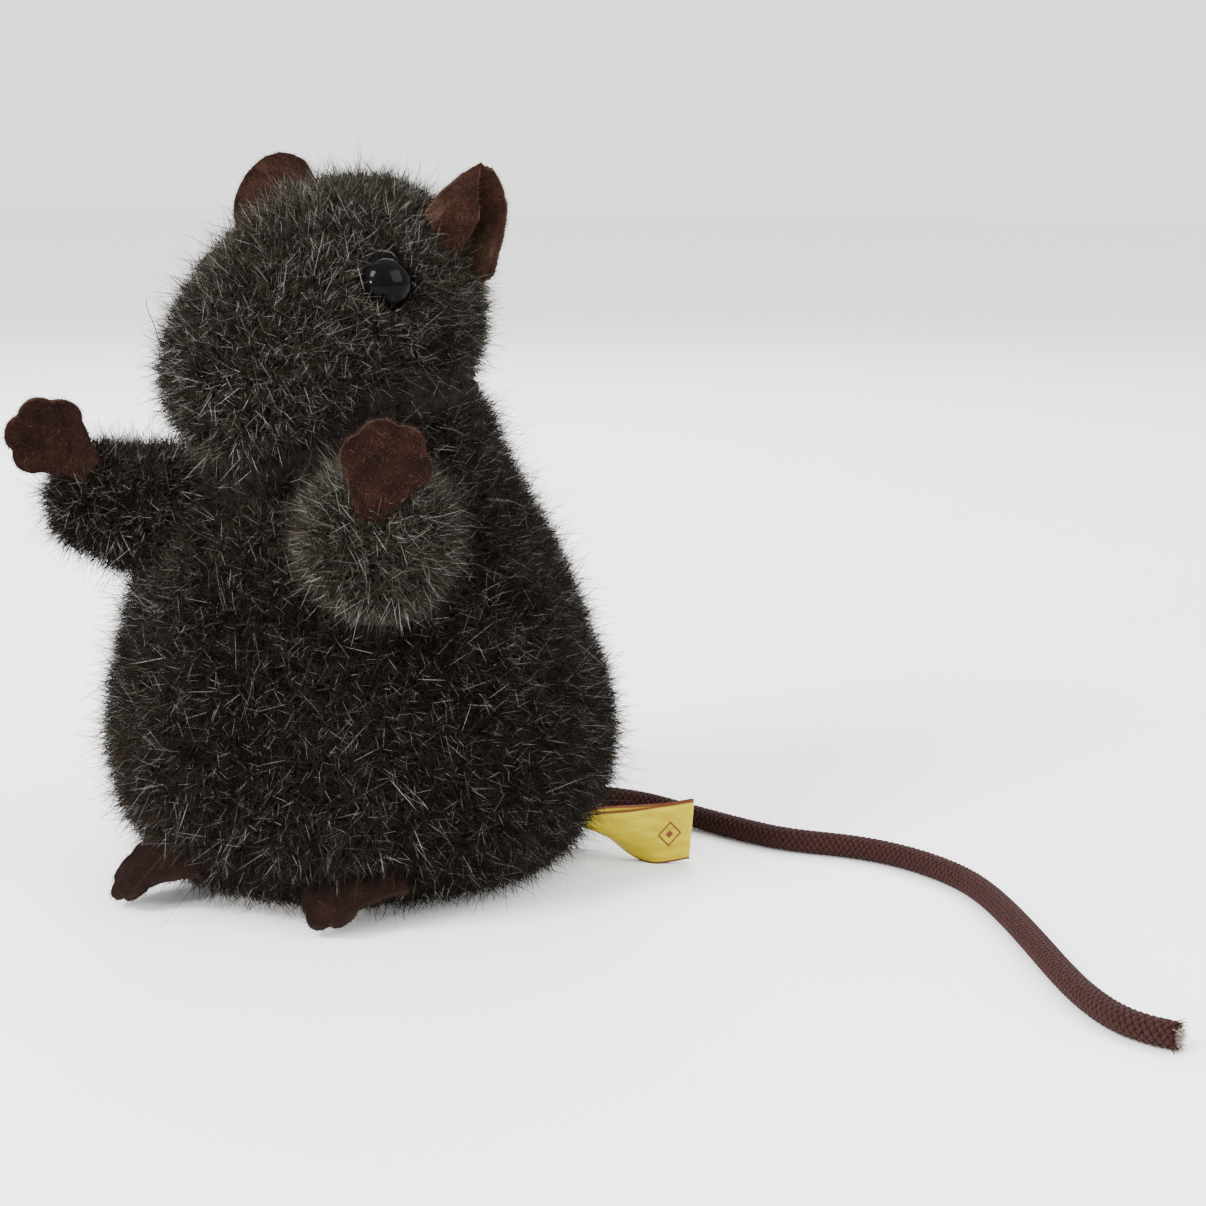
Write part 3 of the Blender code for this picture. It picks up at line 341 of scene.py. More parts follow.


# ---- Pile ---------------------------------------------------------------------------------------
# The head, body and arms are cut from a curly plush. Near-black roots stand on a ground cloth that is
# painted near-black, partly as painted shade in the seams and hollows, and the fibres run from brown to
# olive-grey, with long silver ones scattered over them.

TONES = {
    "pile_root": (0.0030, 0.0026, 0.0022),
    "pile_dark": (0.0062, 0.0054, 0.0042),
    "pile_rust": (0.0170, 0.0105, 0.0072),
    "pile_olive": (0.0230, 0.0205, 0.0135),
    "pile_grey": (0.0500, 0.0465, 0.0390),
    "pile_silver": (0.1900, 0.1830, 0.1680),
}
tone_names = list(TONES)
pile_tones = {}
for name, colour in TONES.items():
    material, _, surface = nodes_of(name, 0.6, 0.0, 0.05)
    surface.inputs["Base Color"].default_value = (*colour, 1.0)
    pile_tones[name] = material

# The ground cloth is painted near-black. It is the plush's backing, and it is also painted shade in the seams,
# at the skins' rims and in the arms' hollows. Its blotches are the cloth's own tone.
ground_cloth_and_painted_shade, tree, surface = nodes_of("ground_cloth_and_painted_shade", 0.95)
place = add(tree, "ShaderNodeTexCoord").outputs["Object"]
blotch = add(tree, "ShaderNodeTexNoise", {"Vector": place, "Scale": 900.0, "Detail": 4.0})
tone = ramp(tree, blotch.outputs["Fac"], ((0.3, (0.003, 0.0025, 0.002)), (0.7, (0.011, 0.009, 0.007))))
tree.links.new(tone, surface.inputs["Base Color"])
bump = add(tree, "ShaderNodeBump", {"Height": blotch.outputs["Fac"], "Strength": 0.8, "Distance": 0.0006})
tree.links.new(bump.outputs["Normal"], surface.inputs["Normal"])


def skin_shell(node):
    """A skin's solid: its points, the outside's smooth normals, its triangles, which of them lie on
    the outside, and which points lie on the outside's rim, where it is sewn or turned in."""
    shape = bmesh.new()
    shape.from_mesh(frame["nodes"][node].data)
    bmesh.ops.remove_doubles(shape, verts=shape.verts, dist=1e-6)
    bmesh.ops.triangulate(shape, faces=shape.faces)
    shape.verts.index_update()
    tree = BVHTree.FromBMesh(shape)
    low, high = (Vector(corner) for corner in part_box(node))
    outside = []
    for face in shape.faces:
        start = face.calc_center_median() + face.normal * 1e-5
        faces_out = (start - (low + high) / 2).dot(face.normal) > 0
        outside.append(faces_out and tree.ray_cast(start, face.normal)[0] is None)
    outside = np.array(outside)
    points = np.array([vertex.co for vertex in shape.verts])
    faces = np.array([[vertex.index for vertex in face.verts] for face in shape.faces])
    shape.free()
    corners = points[faces[outside]]
    cross = np.cross(corners[:, 1] - corners[:, 0], corners[:, 2] - corners[:, 0])
    normals = np.zeros_like(points)
    for k in range(3):
        np.add.at(normals, faces[outside][:, k], cross)
    normals /= np.linalg.norm(normals, axis=1, keepdims=True) + 1e-12
    rim = np.isin(np.arange(len(points)), faces[~outside]) & np.isin(np.arange(len(points)), faces[outside])
    return points, normals, faces, outside, rim


def scatter(points, normals, faces, per_mm2, draw):
    """Places spread evenly over a shell, with their normals."""
    corners = points[faces]
    cross = np.cross(corners[:, 1] - corners[:, 0], corners[:, 2] - corners[:, 0])
    areas = np.linalg.norm(cross, axis=1) / 2
    count = int(areas.sum() * 1e6 * per_mm2)
    picked = draw.choice(len(faces), count, p=areas / areas.sum())
    a, b = draw.uniform(size=(2, count))
    flip = a + b > 1
    a[flip], b[flip] = 1 - a[flip], 1 - b[flip]
    shares = np.stack([1 - a - b, a, b], axis=1)[:, :, None]
    at = (corners[picked] * shares).sum(axis=1)
    normal = (normals[faces[picked]] * shares).sum(axis=1)
    return at, normal / np.linalg.norm(normal, axis=1, keepdims=True)


def cell_noise(places, size, seed):
    """Three smooth-edged random numbers for each place, the same for places in one cell."""
    wobble = np.stack([np.sin(places[:, (k + 1) % 3] * 1900 + k * 2 + seed) for k in range(3)], axis=1)
    cell = np.floor(places / size + 0.35 * wobble).astype(np.int64)
    mixed = (cell[:, 0] * 73856093) ^ (cell[:, 1] * 19349663) ^ (cell[:, 2] * 83492791) ^ (seed * 2654435)
    out = []
    for k in range(3):
        mixed = (mixed * 1103515245 + 12345 + k * 7919) & 0x7FFFFFFF
        mixed ^= mixed >> 13
        mixed = (mixed * 69069 + 362437) & 0x7FFFFFFF
        out.append(mixed / 0x7FFFFFFF * 2 - 1)
    return np.stack(out, axis=1)


def wave_noise(places, size, seed):
    """A smooth number between about -1 and 1 that varies over a given size."""
    draw = np.random.default_rng(seed)
    total = np.zeros(len(places))
    for _ in range(7):
        way = draw.normal(size=3)
        way *= math.tau / size / np.linalg.norm(way) * draw.uniform(0.6, 1.5)
        total += np.sin(places @ way + draw.uniform(0, math.tau))
    return total / 3.2


# At the hem and at a skin's rim the cloth comes up close to the tips, and where the head is sewn to
# the body the two cloths meet.
HEM_LOW, HEM_TOP, HEM_LEAST = 0.0026, 0.011, 0.16
RIM_LEAST, SEAM_GAP, SEAM_EASE = 0.30, 0.0016, 0.0026
CLOTH_INSET, TIP_PAST, PILE_OFF_FLOOR = 0.0002, 0.0007, 0.0002
TUFT_SIZE, SMALL_TUFT_SIZE, TONE_SIZE = 0.0022, 0.0011, 0.030
FIBRE_W, SILVER_W = 0.00013, 0.00009
STRANDS_A_PIECE = 38000


def sunk(points, depth):
    """How deep the ground cloth lies under the tips: full depth, but close to them at the hem."""
    share = np.clip((points[:, 2] - HEM_LOW) / (HEM_TOP - HEM_LOW), HEM_LEAST, 1.0)
    return (depth * share)[:, None]


def tree_of(*nodes):
    """A search tree over the faces of some CAD nodes."""
    shape = bmesh.new()
    for node in nodes:
        shape.from_mesh(frame["nodes"][node].data)
    tree = BVHTree.FromBMesh(shape)
    shape.free()
    return tree


def seam_gap(points, sewn_to):
    """How far each point of a skin stands from the skin it is sewn to."""
    if sewn_to is None:
        return np.ones(len(points))
    tree = tree_of(sewn_to)
    return np.array([tree.find_nearest(Vector(point))[3] for point in points])


def pile_on(name, node, body, comb, per_mm2, depth, length, lift, silver, light, keep=None, seed=1,
            sewn_to=None):
    """Grows a skin's pile as ribbons, in pieces small enough to handle, on a ground cloth."""
    draw = np.random.default_rng(seed)
    points, normals, faces, outside, rim = skin_shell(node)
    gap = seam_gap(points, sewn_to)[:, None]
    loose = np.clip((gap - SEAM_GAP) / SEAM_EASE, 0.0, 1.0)
    sink = np.where(rim, RIM_LEAST, 1.0)[:, None] * sunk(points, depth) * loose
    sink -= (1 - loose) * (np.minimum(gap, SEAM_GAP) / 2 + CLOTH_INSET)
    ground = new_piece(f"{name}_ground", points - normals * (sink + CLOTH_INSET), faces)
    ground.data.materials.append(ground_cloth_and_painted_shade)
    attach(ground, body)
    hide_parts(node)
    at, normal = scatter(points, normals, faces[outside], per_mm2, draw)
    if keep is not None:
        kept = keep(at, normal)
        at, normal = at[kept], normal[kept]
    count = len(at)
    flow = comb(at, normal)
    flow = flow - normal * (flow * normal).sum(axis=1, keepdims=True)
    tuft = cell_noise(at, TUFT_SIZE, seed)
    small = cell_noise(at, SMALL_TUFT_SIZE, seed + 5)
    fine = draw.normal(size=(count, 3))
    ways = normal * lift + flow * 0.7 + tuft * 0.60 + small * 0.70 + fine * 0.48
    ways /= np.linalg.norm(ways, axis=1, keepdims=True)
    rise = np.clip((ways * normal).sum(axis=1), 0.30, 1.0)
    lengths = (length + draw.normal(0, 0.12, count) * length) * (1 + 0.15 * tuft[:, 0])
    local = sunk(at, depth)
    lengths = np.minimum(lengths, (local[:, 0] + TIP_PAST) / rise)
    chance = draw.uniform(size=count)
    # Up-facing pile is painted lighter and down-facing pile darker: a painted top light. The waves, the tufts
    # and the random spread are the plush's own varied tone.
    shade = light + 0.35 * normal[:, 2] + 0.40 * wave_noise(at, TONE_SIZE, seed + 2)
    shade += 0.50 * tuft[:, 1] + 0.9 * draw.normal(size=count)
    tone = np.clip(np.round(1.9 + 0.9 * shade), 0, 4).astype(int)
    shiny = chance < silver
    tone[shiny] = 5
    low = np.where(chance > 0.8, 1, 0)
    slots = np.stack([low, tone], axis=1)
    widths = np.where(shiny, SILVER_W, FIBRE_W) * draw.uniform(0.8, 1.2, count)
    lengths[shiny] *= draw.uniform(0.85, 1.05, shiny.sum())
    bend = draw.uniform(0.3, 1.2, count)
    roots = at - normal * local
    order = np.argsort(np.arctan2(at[:, 1] - PLACE.y, at[:, 0] - PLACE.x), kind="stable")
    for number, first in enumerate(range(0, count, STRANDS_A_PIECE)):
        part = order[first:first + STRANDS_A_PIECE]
        points, faces, face_slots = strands(roots[part], ways[part], lengths[part], widths[part], bend[part],
                                            draw, slots=slots[part])
        points[:, 2] = np.maximum(points[:, 2], PILE_OFF_FLOOR)
        tufts = new_piece(f"{name}_pile_{number + 1}", points, faces, slots=face_slots)
        for tone_name in tone_names:
            tufts.data.materials.append(pile_tones[tone_name])
        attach(tufts, body)


frame_slots = {entry["node"]: entry["material_slot"] for entry in frame["record"]["subparts"]}
head_low, head_high = (np.array(corner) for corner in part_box("head_skin"))
head_middle = (head_low + head_high) / 2


def head_comb(at, normal):
    """From the nose back over the head, up on the forehead and down on the cheeks."""
    from_nose = at - np.array((head_middle[0], head_low[1] - 0.004, head_middle[2] - 0.012))
    from_nose /= np.linalg.norm(from_nose, axis=1, keepdims=True)
    return from_nose * 0.9 + np.array((0.0, 0.0, 0.15))


def body_comb(at, normal):
    """Down the body, swept round to its left side."""
    around = np.stack([-(at[:, 1] - PLACE.y), at[:, 0] - PLACE.x, np.zeros(len(at))], axis=1)
    around /= np.linalg.norm(around, axis=1, keepdims=True) + 1e-9
    return np.array((0.0, 0.0, -0.55)) + around * 0.45


def arm_comb(at, normal):
    return np.array((0.25, 0.0, 0.35)) + np.zeros_like(at)


COVER_REACH, HEAD_REACH = 0.0045, 0.0010
UNDERSIDE = -0.93
EYE_CLEAR = 0.0062
cover_tree = tree_of("left_arm_skin", "right_arm_skin", "left_foot", "right_foot", "label_ribbon")
head_tree = tree_of("head_skin")
eye_seats = [(np.array(low) + np.array(high)) / 2 for low, high in (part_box("left_eye"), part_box("right_eye"))]


def round_the_eyes(at, normal):
    """Leaves the pile out where the eyes stand."""
    near = np.min([np.linalg.norm(at - seat, axis=1) for seat in eye_seats], axis=0)
    return near > EYE_CLEAR


def uncovered(at, normal):
    """Leaves the pile out where the head, an arm, a foot or the label lies on it, and underneath."""
    kept = []
    for place, way in zip(at, normal):
        start, ahead = Vector(place), Vector(way)
        covered = cover_tree.ray_cast(start, ahead, COVER_REACH)[0] is not None
        by_the_head = head_tree.ray_cast(start, ahead, HEAD_REACH)[0] is not None
        kept.append(way[2] >= UNDERSIDE and not covered and not by_the_head)
    return np.array(kept)


pile_on("body", "body_skin", "mouse", body_comb, per_mm2=9.5, depth=0.0036, length=0.0043, lift=0.72,
        silver=0.08, light=-0.32, keep=uncovered, seed=3, sewn_to="head_skin")
pile_on("head", "head_skin", "mouse", head_comb, per_mm2=12.0, depth=0.0032, length=0.0038, lift=0.78,
        silver=0.14, light=0.25, keep=round_the_eyes, seed=4, sewn_to="body_skin")
# The left arm's pile is painted lighter and the right arm's darker: painted light and painted shade on the same
# plush.
for side, light, seed in (("left", 0.45, 5), ("right", -0.55, 6)):
    pile_on(f"{side}_arm", f"{side}_arm_skin", f"{side}_arm", arm_comb, per_mm2=12.0, depth=0.0032,
            length=0.0038, lift=0.78, silver=0.13, light=light, seed=seed)


# ---- Hands, feet and ears -----------------------------------------------------------------------
# Each is cut with a scalloped or rounded edge from red-brown wool felt, and its root is sewn into
# a seam. The felt is soft: it arches and cups a little, and its cut edges have worn paler.

HAND_CUP = 0.0011
FOOT_ARCH = 0.0013
FUZZ_PER_MM2 = 9.0
FUZZ_W = 0.00006


def maths(tree, operation, *values):
    """A maths node's result for some sockets or numbers."""
    return add(tree, "ShaderNodeMath", dict(enumerate(values)), operation=operation).outputs["Value"]


def felt(name, dark, mid, pale, worn):
    """Matted wool: blotches, short crossed fibres, and a paler tone where the wear attribute is high."""
    material, tree, surface = nodes_of(name, 0.95, 0.04)
    surface.inputs["Sheen Roughness"].default_value = 0.5
    surface.inputs["Sheen Tint"].default_value = (*worn, 1.0)
    place = add(tree, "ShaderNodeTexCoord").outputs["Object"]
    blotch = add(tree, "ShaderNodeTexNoise", {"Vector": place, "Scale": 260.0, "Detail": 3.0})
    stretch = add(tree, "ShaderNodeMapping", {"Vector": place, "Scale": (5200.0, 1500.0, 2600.0)})
    hairs = add(tree, "ShaderNodeTexNoise", {"Vector": stretch.outputs["Vector"], "Scale": 1.0, "Detail": 5.0,
                                             "Distortion": 1.2})
    mixed = add(tree, "ShaderNodeMix", {0: 0.6, 2: blotch.outputs["Fac"], 3: hairs.outputs["Fac"]})
    tone = ramp(tree, mixed.outputs[0], ((0.36, dark), (0.50, mid), (0.64, pale)))
    wear = add(tree, "ShaderNodeAttribute", attribute_name="wear")
    edge = maths(tree, "MULTIPLY", wear.outputs["Fac"], blotch.outputs["Fac"])
    final = add(tree, "ShaderNodeMix", {0: edge, 6: tone, 7: (*worn, 1.0)}, data_type="RGBA")
    tree.links.new(final.outputs[2], surface.inputs["Base Color"])
    bump = add(tree, "ShaderNodeBump", {"Height": hairs.outputs["Fac"], "Strength": 0.7, "Distance": 0.0002})
    tree.links.new(bump.outputs["Normal"], surface.inputs["Normal"])
    return material


hand_felt = felt("hand_felt", (0.0028, 0.0010, 0.0007), (0.0080, 0.0025, 0.0016), (0.0190, 0.0070, 0.0042),
                 (0.040, 0.020, 0.012))
foot_felt = felt("foot_felt", (0.0020, 0.0009, 0.0007), (0.0055, 0.0021, 0.0015), (0.0130, 0.0055, 0.0036),
                 (0.020, 0.010, 0.007))
ear_felt = felt("ear_felt", (0.0040, 0.0016, 0.0011), (0.0130, 0.0046, 0.0028), (0.0300, 0.0125, 0.0075),
                (0.110, 0.074, 0.044))
fuzz_tones = []
for name, colour in (("fuzz_dark", (0.006, 0.0022, 0.0015)), ("fuzz_mid", (0.017, 0.0065, 0.004)),
                     ("fuzz_pale", (0.055, 0.029, 0.018))):
    material, _, surface = nodes_of(name, 0.8)
    surface.inputs["Base Color"].default_value = (*colour, 1.0)
    fuzz_tones.append(material)


def copied(name, node):
    """A copy of a CAD node's mesh, with its doubled corners merged, as a new object."""
    mesh = bpy.data.meshes.new(name)
    shape = bmesh.new()
    shape.from_mesh(frame["nodes"][node].data)
    bmesh.ops.remove_doubles(shape, verts=shape.verts, dist=1e-6)
    shape.to_mesh(mesh)
    shape.free()
    piece = bpy.data.objects.new(name, mesh)
    bpy.context.collection.objects.link(piece)
    return piece


def finish_modifiers(piece):
    """Applies a piece's modifiers in order."""
    bpy.ops.object.select_all(action="DESELECT")
    piece.select_set(True)
    bpy.context.view_layer.objects.active = piece
    for modifier in list(piece.modifiers):
        bpy.ops.object.modifier_apply(modifier=modifier.name)
    piece.select_set(False)


lumps = bpy.data.textures.new("felt_lumps", "CLOUDS")
lumps.noise_scale = 0.0028
lumps.noise_depth = 2


def felt_piece(name, node, body, material, shaped, seed):
    """A sewn-in felt piece, rounded at its cut edge, with a fuzz of loose fibres."""
    piece = copied(name, node)
    voxels = piece.modifiers.new("voxels", "REMESH")
    voxels.mode = "VOXEL"
    voxels.voxel_size = 0.00026
    soften = piece.modifiers.new("soften", "SMOOTH")
    soften.factor = 0.5
    soften.iterations = 5
    ripple = piece.modifiers.new("ripple", "DISPLACE")
    ripple.texture = lumps
    ripple.texture_coords = "LOCAL"
    ripple.strength = 0.00035
    ripple.mid_level = 0.5
    finish_modifiers(piece)
    mesh = piece.data
    points = np.empty(len(mesh.vertices) * 3, np.float32)
    mesh.vertices.foreach_get("co", points)
    points = points.reshape(-1, 3).astype(float)
    middle = points.mean(axis=0)
    _, ways = np.linalg.eigh(np.cov((points - middle).T))
    points = shaped(points, middle, ways)
    points[:, 2] = np.maximum(points[:, 2], 0.0002)
    mesh.vertices.foreach_set("co", points.astype(np.float32).ravel())
    mesh.update()
    normals = np.empty(len(mesh.vertices) * 3, np.float32)
    mesh.vertex_normals.foreach_get("vector", normals)
    normals = normals.reshape(-1, 3).astype(float)
    wear = mesh.attributes.new("wear", "FLOAT", "POINT")
    flat = np.abs(normals @ ways[:, 0])
    wear.data.foreach_set("value", np.clip((0.80 - flat) * 2.0, 0, 1).astype(np.float32))
    mesh.shade_smooth()
    mesh.materials.append(material)
    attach(piece, body)
    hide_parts(node)
    draw = np.random.default_rng(seed)
    mesh.calc_loop_triangles()
    faces = np.empty(len(mesh.loop_triangles) * 3, np.int32)
    mesh.loop_triangles.foreach_get("vertices", faces)
    at, normal = scatter(points, normals, faces.reshape(-1, 3), FUZZ_PER_MM2, draw)
    count = len(at)
    ways = normal * 0.55 + draw.normal(0, 0.65, (count, 3))
    lengths = draw.uniform(0.0004, 0.0010, count)
    _, bent_ways = np.linalg.eigh(np.cov((points - middle).T))
    edge = np.abs(normal @ bent_ways[:, 0]) < 0.6
    pale = 2 if node.endswith("foot") else 3
    tone = np.where(edge, draw.integers(0, pale, count), draw.choice(pale, count))
    tone = np.where((tone == 2) & (draw.uniform(size=count) < 0.5), 1, tone)
    points, faces, face_slots = strands(at, ways, lengths, np.full(count, FUZZ_W), np.full(count, 0.5), draw,
                                        slots=np.stack([tone, tone], axis=1))
    points[:, 2] = np.maximum(points[:, 2], 0.0001)
    fuzz = new_piece(f"{name}_fuzz", points, faces, slots=face_slots)
    for tone in fuzz_tones:
        fuzz.data.materials.append(tone)
    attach(fuzz, body)
    return piece


def cupped(points, middle, ways):
    """Bends a hand's rim forward, most at its fingertips."""
    off = points - middle
    far = np.clip((off @ ways[:, 2]) ** 2 + 0.8 * (off @ ways[:, 1]) ** 2, 0, 0.0001)
    face = ways[:, 0] * (1 if ways[1, 0] < 0 else -1)
    return points + face * (HAND_CUP * far / 0.00006)[:, None] - face * HAND_CUP * 0.5


def arched(points, middle, ways):
    """Arches a foot over its instep, with its toes down on the floor."""
    off = (points - middle) @ ways[:, 2]
    off = off * (1 if ways[1, 2] < 0 else -1)
    share = np.clip((off - off.min()) / (off.max() - off.min()), 0, 1)
    lift = FOOT_ARCH * np.sin(math.pi * share) - 0.0009 * share**3
    return points + np.array((0.0, 0.0, 1.0)) * lift[:, None]


def plain(points, middle, ways):
    return points


for side, seed in (("left", 21), ("right", 22)):
    felt_piece(f"{side}_felt_hand", f"{side}_hand", f"{side}_arm", hand_felt, cupped, seed)
    felt_piece(f"{side}_felt_foot", f"{side}_foot", "mouse", foot_felt, arched, seed + 10)
    felt_piece(f"{side}_felt_ear", f"{side}_ear", "mouse", ear_felt, plain, seed + 20)


# ---- Eyes ---------------------------------------------------------------------------------------
# Black glass domes with a polished face stand on shanks through the skin, and white plastic
# washers hold them from the inside.

EYE_R = 0.0046
HEAD_TURN = math.radians(-4.0)
EYE_ANGLE = math.radians(55.0)
EYE_SEAT, EYE_Z = 0.0264, 0.1133

eye_glass, tree, surface = nodes_of("eye_glass", 0.03, 0.0, 0.045)
place = add(tree, "ShaderNodeTexCoord").outputs["Object"]
depth = add(tree, "ShaderNodeTexNoise", {"Vector": place, "Scale": 300.0, "Detail": 2.0})
tone = ramp(tree, depth.outputs["Fac"], ((0.3, (0.0008, 0.0008, 0.0010)), (0.8, (0.0030, 0.0028, 0.0030))))
tree.links.new(tone, surface.inputs["Base Color"])

for side, sign in (("left", 1), ("right", -1)):
    turn = EYE_ANGLE * sign
    head = Matrix.Rotation(HEAD_TURN, 4, "Z")
    outward = (head.to_3x3() @ Vector((math.sin(turn), -math.cos(turn), 0.12))).normalized()
    seat = PLACE + head @ Vector((EYE_SEAT * math.sin(turn), -EYE_SEAT * math.cos(turn), EYE_Z))
    bpy.ops.mesh.primitive_uv_sphere_add(segments=64, ring_count=40, radius=EYE_R)
    dome = bpy.context.object
    dome.name = f"{side}_eye_dome"
    bpy.ops.object.mode_set(mode="EDIT")
    bpy.ops.mesh.select_all(action="SELECT")
    bpy.ops.transform.resize(value=(1.0, 1.0, 0.8))
    bpy.ops.mesh.bisect(plane_co=(0, 0, -0.0016), plane_no=(0, 0, 1), use_fill=True, clear_inner=True)
    bpy.ops.object.mode_set(mode="OBJECT")
    turned = outward.to_track_quat("Z", "Y").to_matrix().to_4x4()
    dome.data.transform(Matrix.Translation(seat - outward * 0.1 * EYE_R) @ turned)
    dome.data.shade_smooth()
    dome.data.materials.append(eye_glass)
    dome.select_set(False)
    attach(dome, "mouse")
    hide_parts(f"{side}_eye")


# ---- Whisker --------------------------------------------------------------------------------------
# One dark nylon bristle is drawn through the skin at the right of the nose; it curls up and
# tapers to its tip.

WHISKER_ROUTE = ((33.3, -13.2, 99.4), (34.5, -15.4, 102.0), (34.8, -16.8, 105.5), (35.7, -17.3, 108.2),
                 (36.1, -17.2, 110.4))
BRISTLE_RINGS, BRISTLE_AROUND = 24, 9
BRISTLE_ROOT_R, BRISTLE_TIP_R = 0.00016, 0.00005
bristle_line = []
for forward, left, height in WHISKER_ROUTE:
    place = PLACE + Matrix.Rotation(HEAD_TURN, 4, "Z") @ Vector((left, -forward, height)) * 0.001
    bristle_line.append(place)
bristle_line = smooth_run(bristle_line, BRISTLE_RINGS)
_, bristle_side, bristle_up = run_frames(bristle_line)
ring = np.linspace(0, math.tau, BRISTLE_AROUND + 1)[:-1]
taper = np.linspace(BRISTLE_ROOT_R, BRISTLE_TIP_R, BRISTLE_RINGS)[:, None, None]
points = (bristle_line[:, None] + bristle_side[:, None] * np.cos(ring)[None, :, None] * taper
          + bristle_up[:, None] * np.sin(ring)[None, :, None] * taper)
whisker = new_piece("right_bristle", points.reshape(-1, 3), tube_faces(BRISTLE_RINGS, BRISTLE_AROUND))
close_ends(whisker)
nylon, tree, surface = nodes_of("dark_nylon", 0.35, 0.0, 0.3)
place = add(tree, "ShaderNodeTexCoord").outputs["Object"]
streak = add(tree, "ShaderNodeTexNoise", {"Vector": place, "Scale": 1500.0, "Detail": 2.0})
tone = ramp(tree, streak.outputs["Fac"], ((0.3, (0.006, 0.006, 0.006)), (0.7, (0.030, 0.028, 0.026))))
tree.links.new(tone, surface.inputs["Base Color"])
whisker.data.materials.append(nylon)
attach(whisker, "mouse")
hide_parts("right_whisker")


# ---- Label ----------------------------------------------------------------------------------------
# A folded loop of yellow satin ribbon, woven with red-brown edges and a plain diamond. Both ends
# are gathered into the side seam beside the tail, and the loop twists upright towards its fold.

RIBBON_W, RIBBON_RUN = 0.012, 0.0222
LAYER_GAP = 0.00042
FOLD_STEPS, RUN_STEPS, WIDE_STEPS = 8, 44, 28
label_root = PLACE + Vector((0.0346, 0.0216, 0.0078))
label_run = Vector((0.83, 0.48, -0.07)).normalized()
face_way = Vector((0.6, -0.8, 0.0))
face_way = (face_way - label_run * face_way.dot(label_run)).normalized()
up_way = face_way.cross(label_run)
up_way = up_way if up_way.z > 0 else -up_way
stations = [(k / RUN_STEPS, 1.0) for k in range(RUN_STEPS + 1)]
stations += [(1.0, math.cos(math.pi * k / FOLD_STEPS)) for k in range(1, FOLD_STEPS)]
stations += [(1 - k / RUN_STEPS, -1.0) for k in range(RUN_STEPS + 1)]
points = []
for share, face_side in stations:
    opened = min(max((share - 0.04) / 0.70, 0.0), 1.0)
    curl = math.radians(100) * (1 - opened) + math.radians(22)
    twist = math.radians(84) * (1 - opened) ** 1.3
    across = up_way * math.cos(twist) + face_way * math.sin(twist)
    square = label_run.cross(across)
    square = square if square.dot(face_way) > 0 else -square
    bow = 0.0011 * math.sin(math.pi * share * 0.9)
    sag = Vector((0, 0, 0.0006)) * share**2 - Vector((0, 0, 0.0014)) * math.sin(math.pi * share)
    reach = share * RIBBON_RUN
    tip = math.sqrt(max(1 - face_side**2, 0.0)) if share >= 1.0 else 0.0
    centre = label_root + label_run * (reach + tip * LAYER_GAP) + sag + face_way * bow
    radius = RIBBON_W / curl
    for k in range(WIDE_STEPS + 1):
        a = (k / WIDE_STEPS - 0.5) * curl
        away = (radius - LAYER_GAP * face_side) * math.sin(a)
        deep = -radius * (1 - math.cos(a)) + LAYER_GAP * face_side
        ripple = 0.00012 * math.sin(share * 9 + k * 0.35)
        points.append(centre + across * away + square * (deep + ripple))
columns = WIDE_STEPS + 1
row = np.arange(len(stations) - 1)[:, None] * columns
column = np.arange(WIDE_STEPS)[None, :]
corners = (row + column, row + column + 1, row + columns + column + 1, row + columns + column)
faces = np.stack(corners, axis=-1)
u = np.stack([column, column + 1, column + 1, column], axis=-1) / WIDE_STEPS
v = np.stack([row, row, row + columns, row + columns], axis=-1) / columns / (len(stations) - 1)
ribbon_uvs = np.stack(np.broadcast_arrays(u, v), axis=-1).reshape(-1, 2)
ribbon = new_piece("label_ribbon_loop", np.array(points), faces.reshape(-1, 4), ribbon_uvs)
thick = ribbon.modifiers.new("cloth", "SOLIDIFY")
thick.thickness = 0.00022
thick.offset = 0.0
finish_modifiers(ribbon)

satin, tree, surface = nodes_of("yellow_satin", 0.5, 0.0, 0.12)
place = add(tree, "ShaderNodeUVMap", uv_map="piece_uv").outputs["UV"]
parts = add(tree, "ShaderNodeSeparateXYZ", {"Vector": place})
weft = add(tree, "ShaderNodeTexWave", {"Vector": place, "Scale": 70.0, "Distortion": 0.6},
           bands_direction="Y")
warp = add(tree, "ShaderNodeTexWave", {"Vector": place, "Scale": 18.0, "Distortion": 0.6},
           bands_direction="X")
stain = add(tree, "ShaderNodeTexNoise", {"Vector": place, "Scale": 9.0, "Detail": 3.0})
yarn = maths(tree, "MULTIPLY", weft.outputs["Fac"], warp.outputs["Fac"])
yellow = ramp(tree, stain.outputs["Fac"], ((0.30, (0.330, 0.245, 0.006)), (0.70, (0.450, 0.365, 0.012))))
side_way = maths(tree, "ABSOLUTE", maths(tree, "SUBTRACT", parts.outputs["X"], 0.5))
edge = add(tree, "ShaderNodeMapRange", {0: side_way, 1: 0.455, 2: 0.470})
along_way = maths(tree, "ABSOLUTE", maths(tree, "SUBTRACT", parts.outputs["Y"], 0.38))
diamond = maths(tree, "ADD", maths(tree, "MULTIPLY", along_way, 4.6), side_way)
ring_way = maths(tree, "ABSOLUTE", maths(tree, "SUBTRACT", diamond, 0.20))
mark = add(tree, "ShaderNodeMapRange", {0: ring_way, 1: 0.026, 2: 0.016})
inner = add(tree, "ShaderNodeMapRange", {0: diamond, 1: 0.08, 2: 0.065})
woven = maths(tree, "MAXIMUM", edge.outputs["Result"], mark.outputs["Result"])
woven = maths(tree, "MAXIMUM", woven, inner.outputs["Result"])
final = add(tree, "ShaderNodeMix", {0: woven, 6: yellow, 7: (0.120, 0.036, 0.012, 1.0)}, data_type="RGBA")
